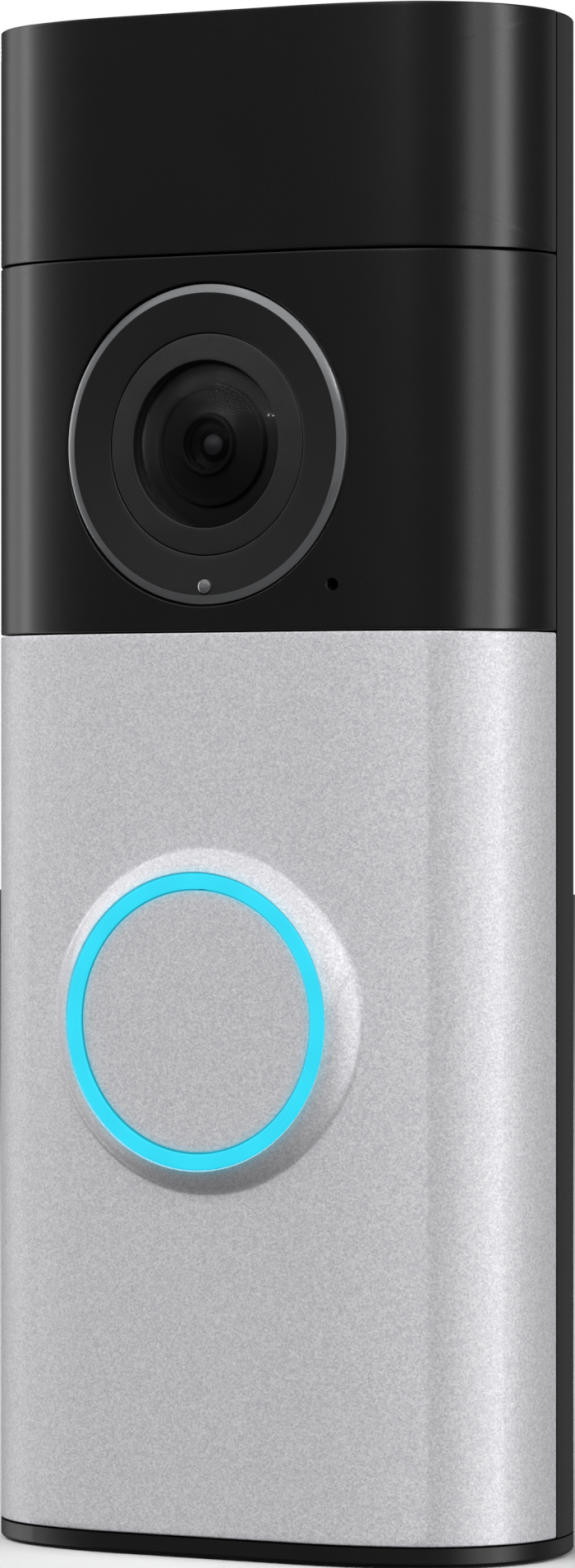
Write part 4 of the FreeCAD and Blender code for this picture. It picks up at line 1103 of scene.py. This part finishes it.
world = bpy.data.worlds.new("surround")
bpy.context.scene.world = world
world.use_nodes = True
tree = world.node_tree
tree.nodes.clear()
AMBIENT = (0.03, 0.07)       # brightness straight below, and from the level upwards
way = add(tree, "ShaderNodeTexCoord", {})
height = add(tree, "ShaderNodeSeparateXYZ", {0: way.outputs["Generated"]})
lower = add(tree, "ShaderNodeMapRange", {"Value": height.outputs[2], "From Min": -1.0, "From Max": 0.0,
                                         "To Min": AMBIENT[0], "To Max": AMBIENT[1]})
lit = add(tree, "ShaderNodeBackground", {"Color": (1, 1, 1, 1), "Strength": lower.outputs[0]})
seen = add(tree, "ShaderNodeBackground", {"Color": (1, 1, 1, 1), "Strength": 1.0})
by_camera = add(tree, "ShaderNodeLightPath", {})
both = add(tree, "ShaderNodeMixShader", {0: by_camera.outputs["Is Camera Ray"], 1: lit.outputs[0],
                                         2: seen.outputs[0]})
add(tree, "ShaderNodeOutputWorld", {"Surface": both.outputs[0]})

# %% [markdown]
# The key box is high up and a little to the right. It lights the top of the collar and leaves
# its underside in shade. A second box in the same place lights matt surfaces alone, so the
# silver gets bright without harsh highlights. Tall narrow boxes stand level with the doorbell
# at both sides and behind: a black surface shows little but reflections, and these draw the
# upright stripes along its corners. A tiny bright box puts the sparkle in the dome.

# %% The soft boxes
def soft_box(name, azimuth, elevation, distance, width, height, radiance, mirrored=True):
    """An area light that faces the doorbell's middle. Azimuth turns from the front towards +X.
    Its power is pi times its area times the brightness of its surface. A box that isn't
    mirrored lights surfaces but makes no highlight."""
    turn, rise = math.radians(azimuth), math.radians(elevation)
    away = np.array([math.sin(turn) * math.cos(rise), -math.cos(turn) * math.cos(rise), math.sin(rise)])
    lamp = bpy.data.lights.new(name, "AREA")
    lamp.shape, lamp.size, lamp.size_y = "RECTANGLE", width, height
    lamp.energy = math.pi * width * height * radiance
    box = bpy.data.objects.new(name, lamp)
    middle = np.array([0.0, -body_depth * MM / 2, 0.0])
    box.location = middle + away * distance
    box.rotation_euler = mathutils.Vector(away).to_track_quat("Z", "Y").to_euler()
    box.visible_glossy = mirrored
    bpy.context.scene.collection.objects.link(box)
    print(name, "power", round(lamp.energy, 2), "W")
    return box


SIDE = {"distance": 0.8, "elevation": 2, "height": 1.3}
soft_box("key_box", azimuth=6, elevation=41, distance=1.2, width=1.2, height=0.9, radiance=1.1)
soft_box("wash_box", azimuth=6, elevation=41, distance=1.2, width=1.2, height=0.9, radiance=4.1,
         mirrored=False)
soft_box("fill_box", azimuth=-40, elevation=40, distance=1.2, width=0.6, height=0.6, radiance=0.8)
soft_box("right_front_box", azimuth=72, width=0.16, radiance=3.1, **SIDE)
soft_box("right_box", azimuth=95, width=0.18, radiance=6.3, **SIDE)
soft_box("left_front_box", azimuth=-78, width=0.16, radiance=4.3, **SIDE)
soft_box("left_box", azimuth=-99, width=0.28, radiance=1.3, **SIDE)
soft_box("back_box", azimuth=165, width=0.5, radiance=0.22, **SIDE)
soft_box("glint_box", azimuth=13, elevation=20, distance=1.2, width=0.03, height=0.03, radiance=150)

bpy.context.scene.view_settings.view_transform = "Standard"
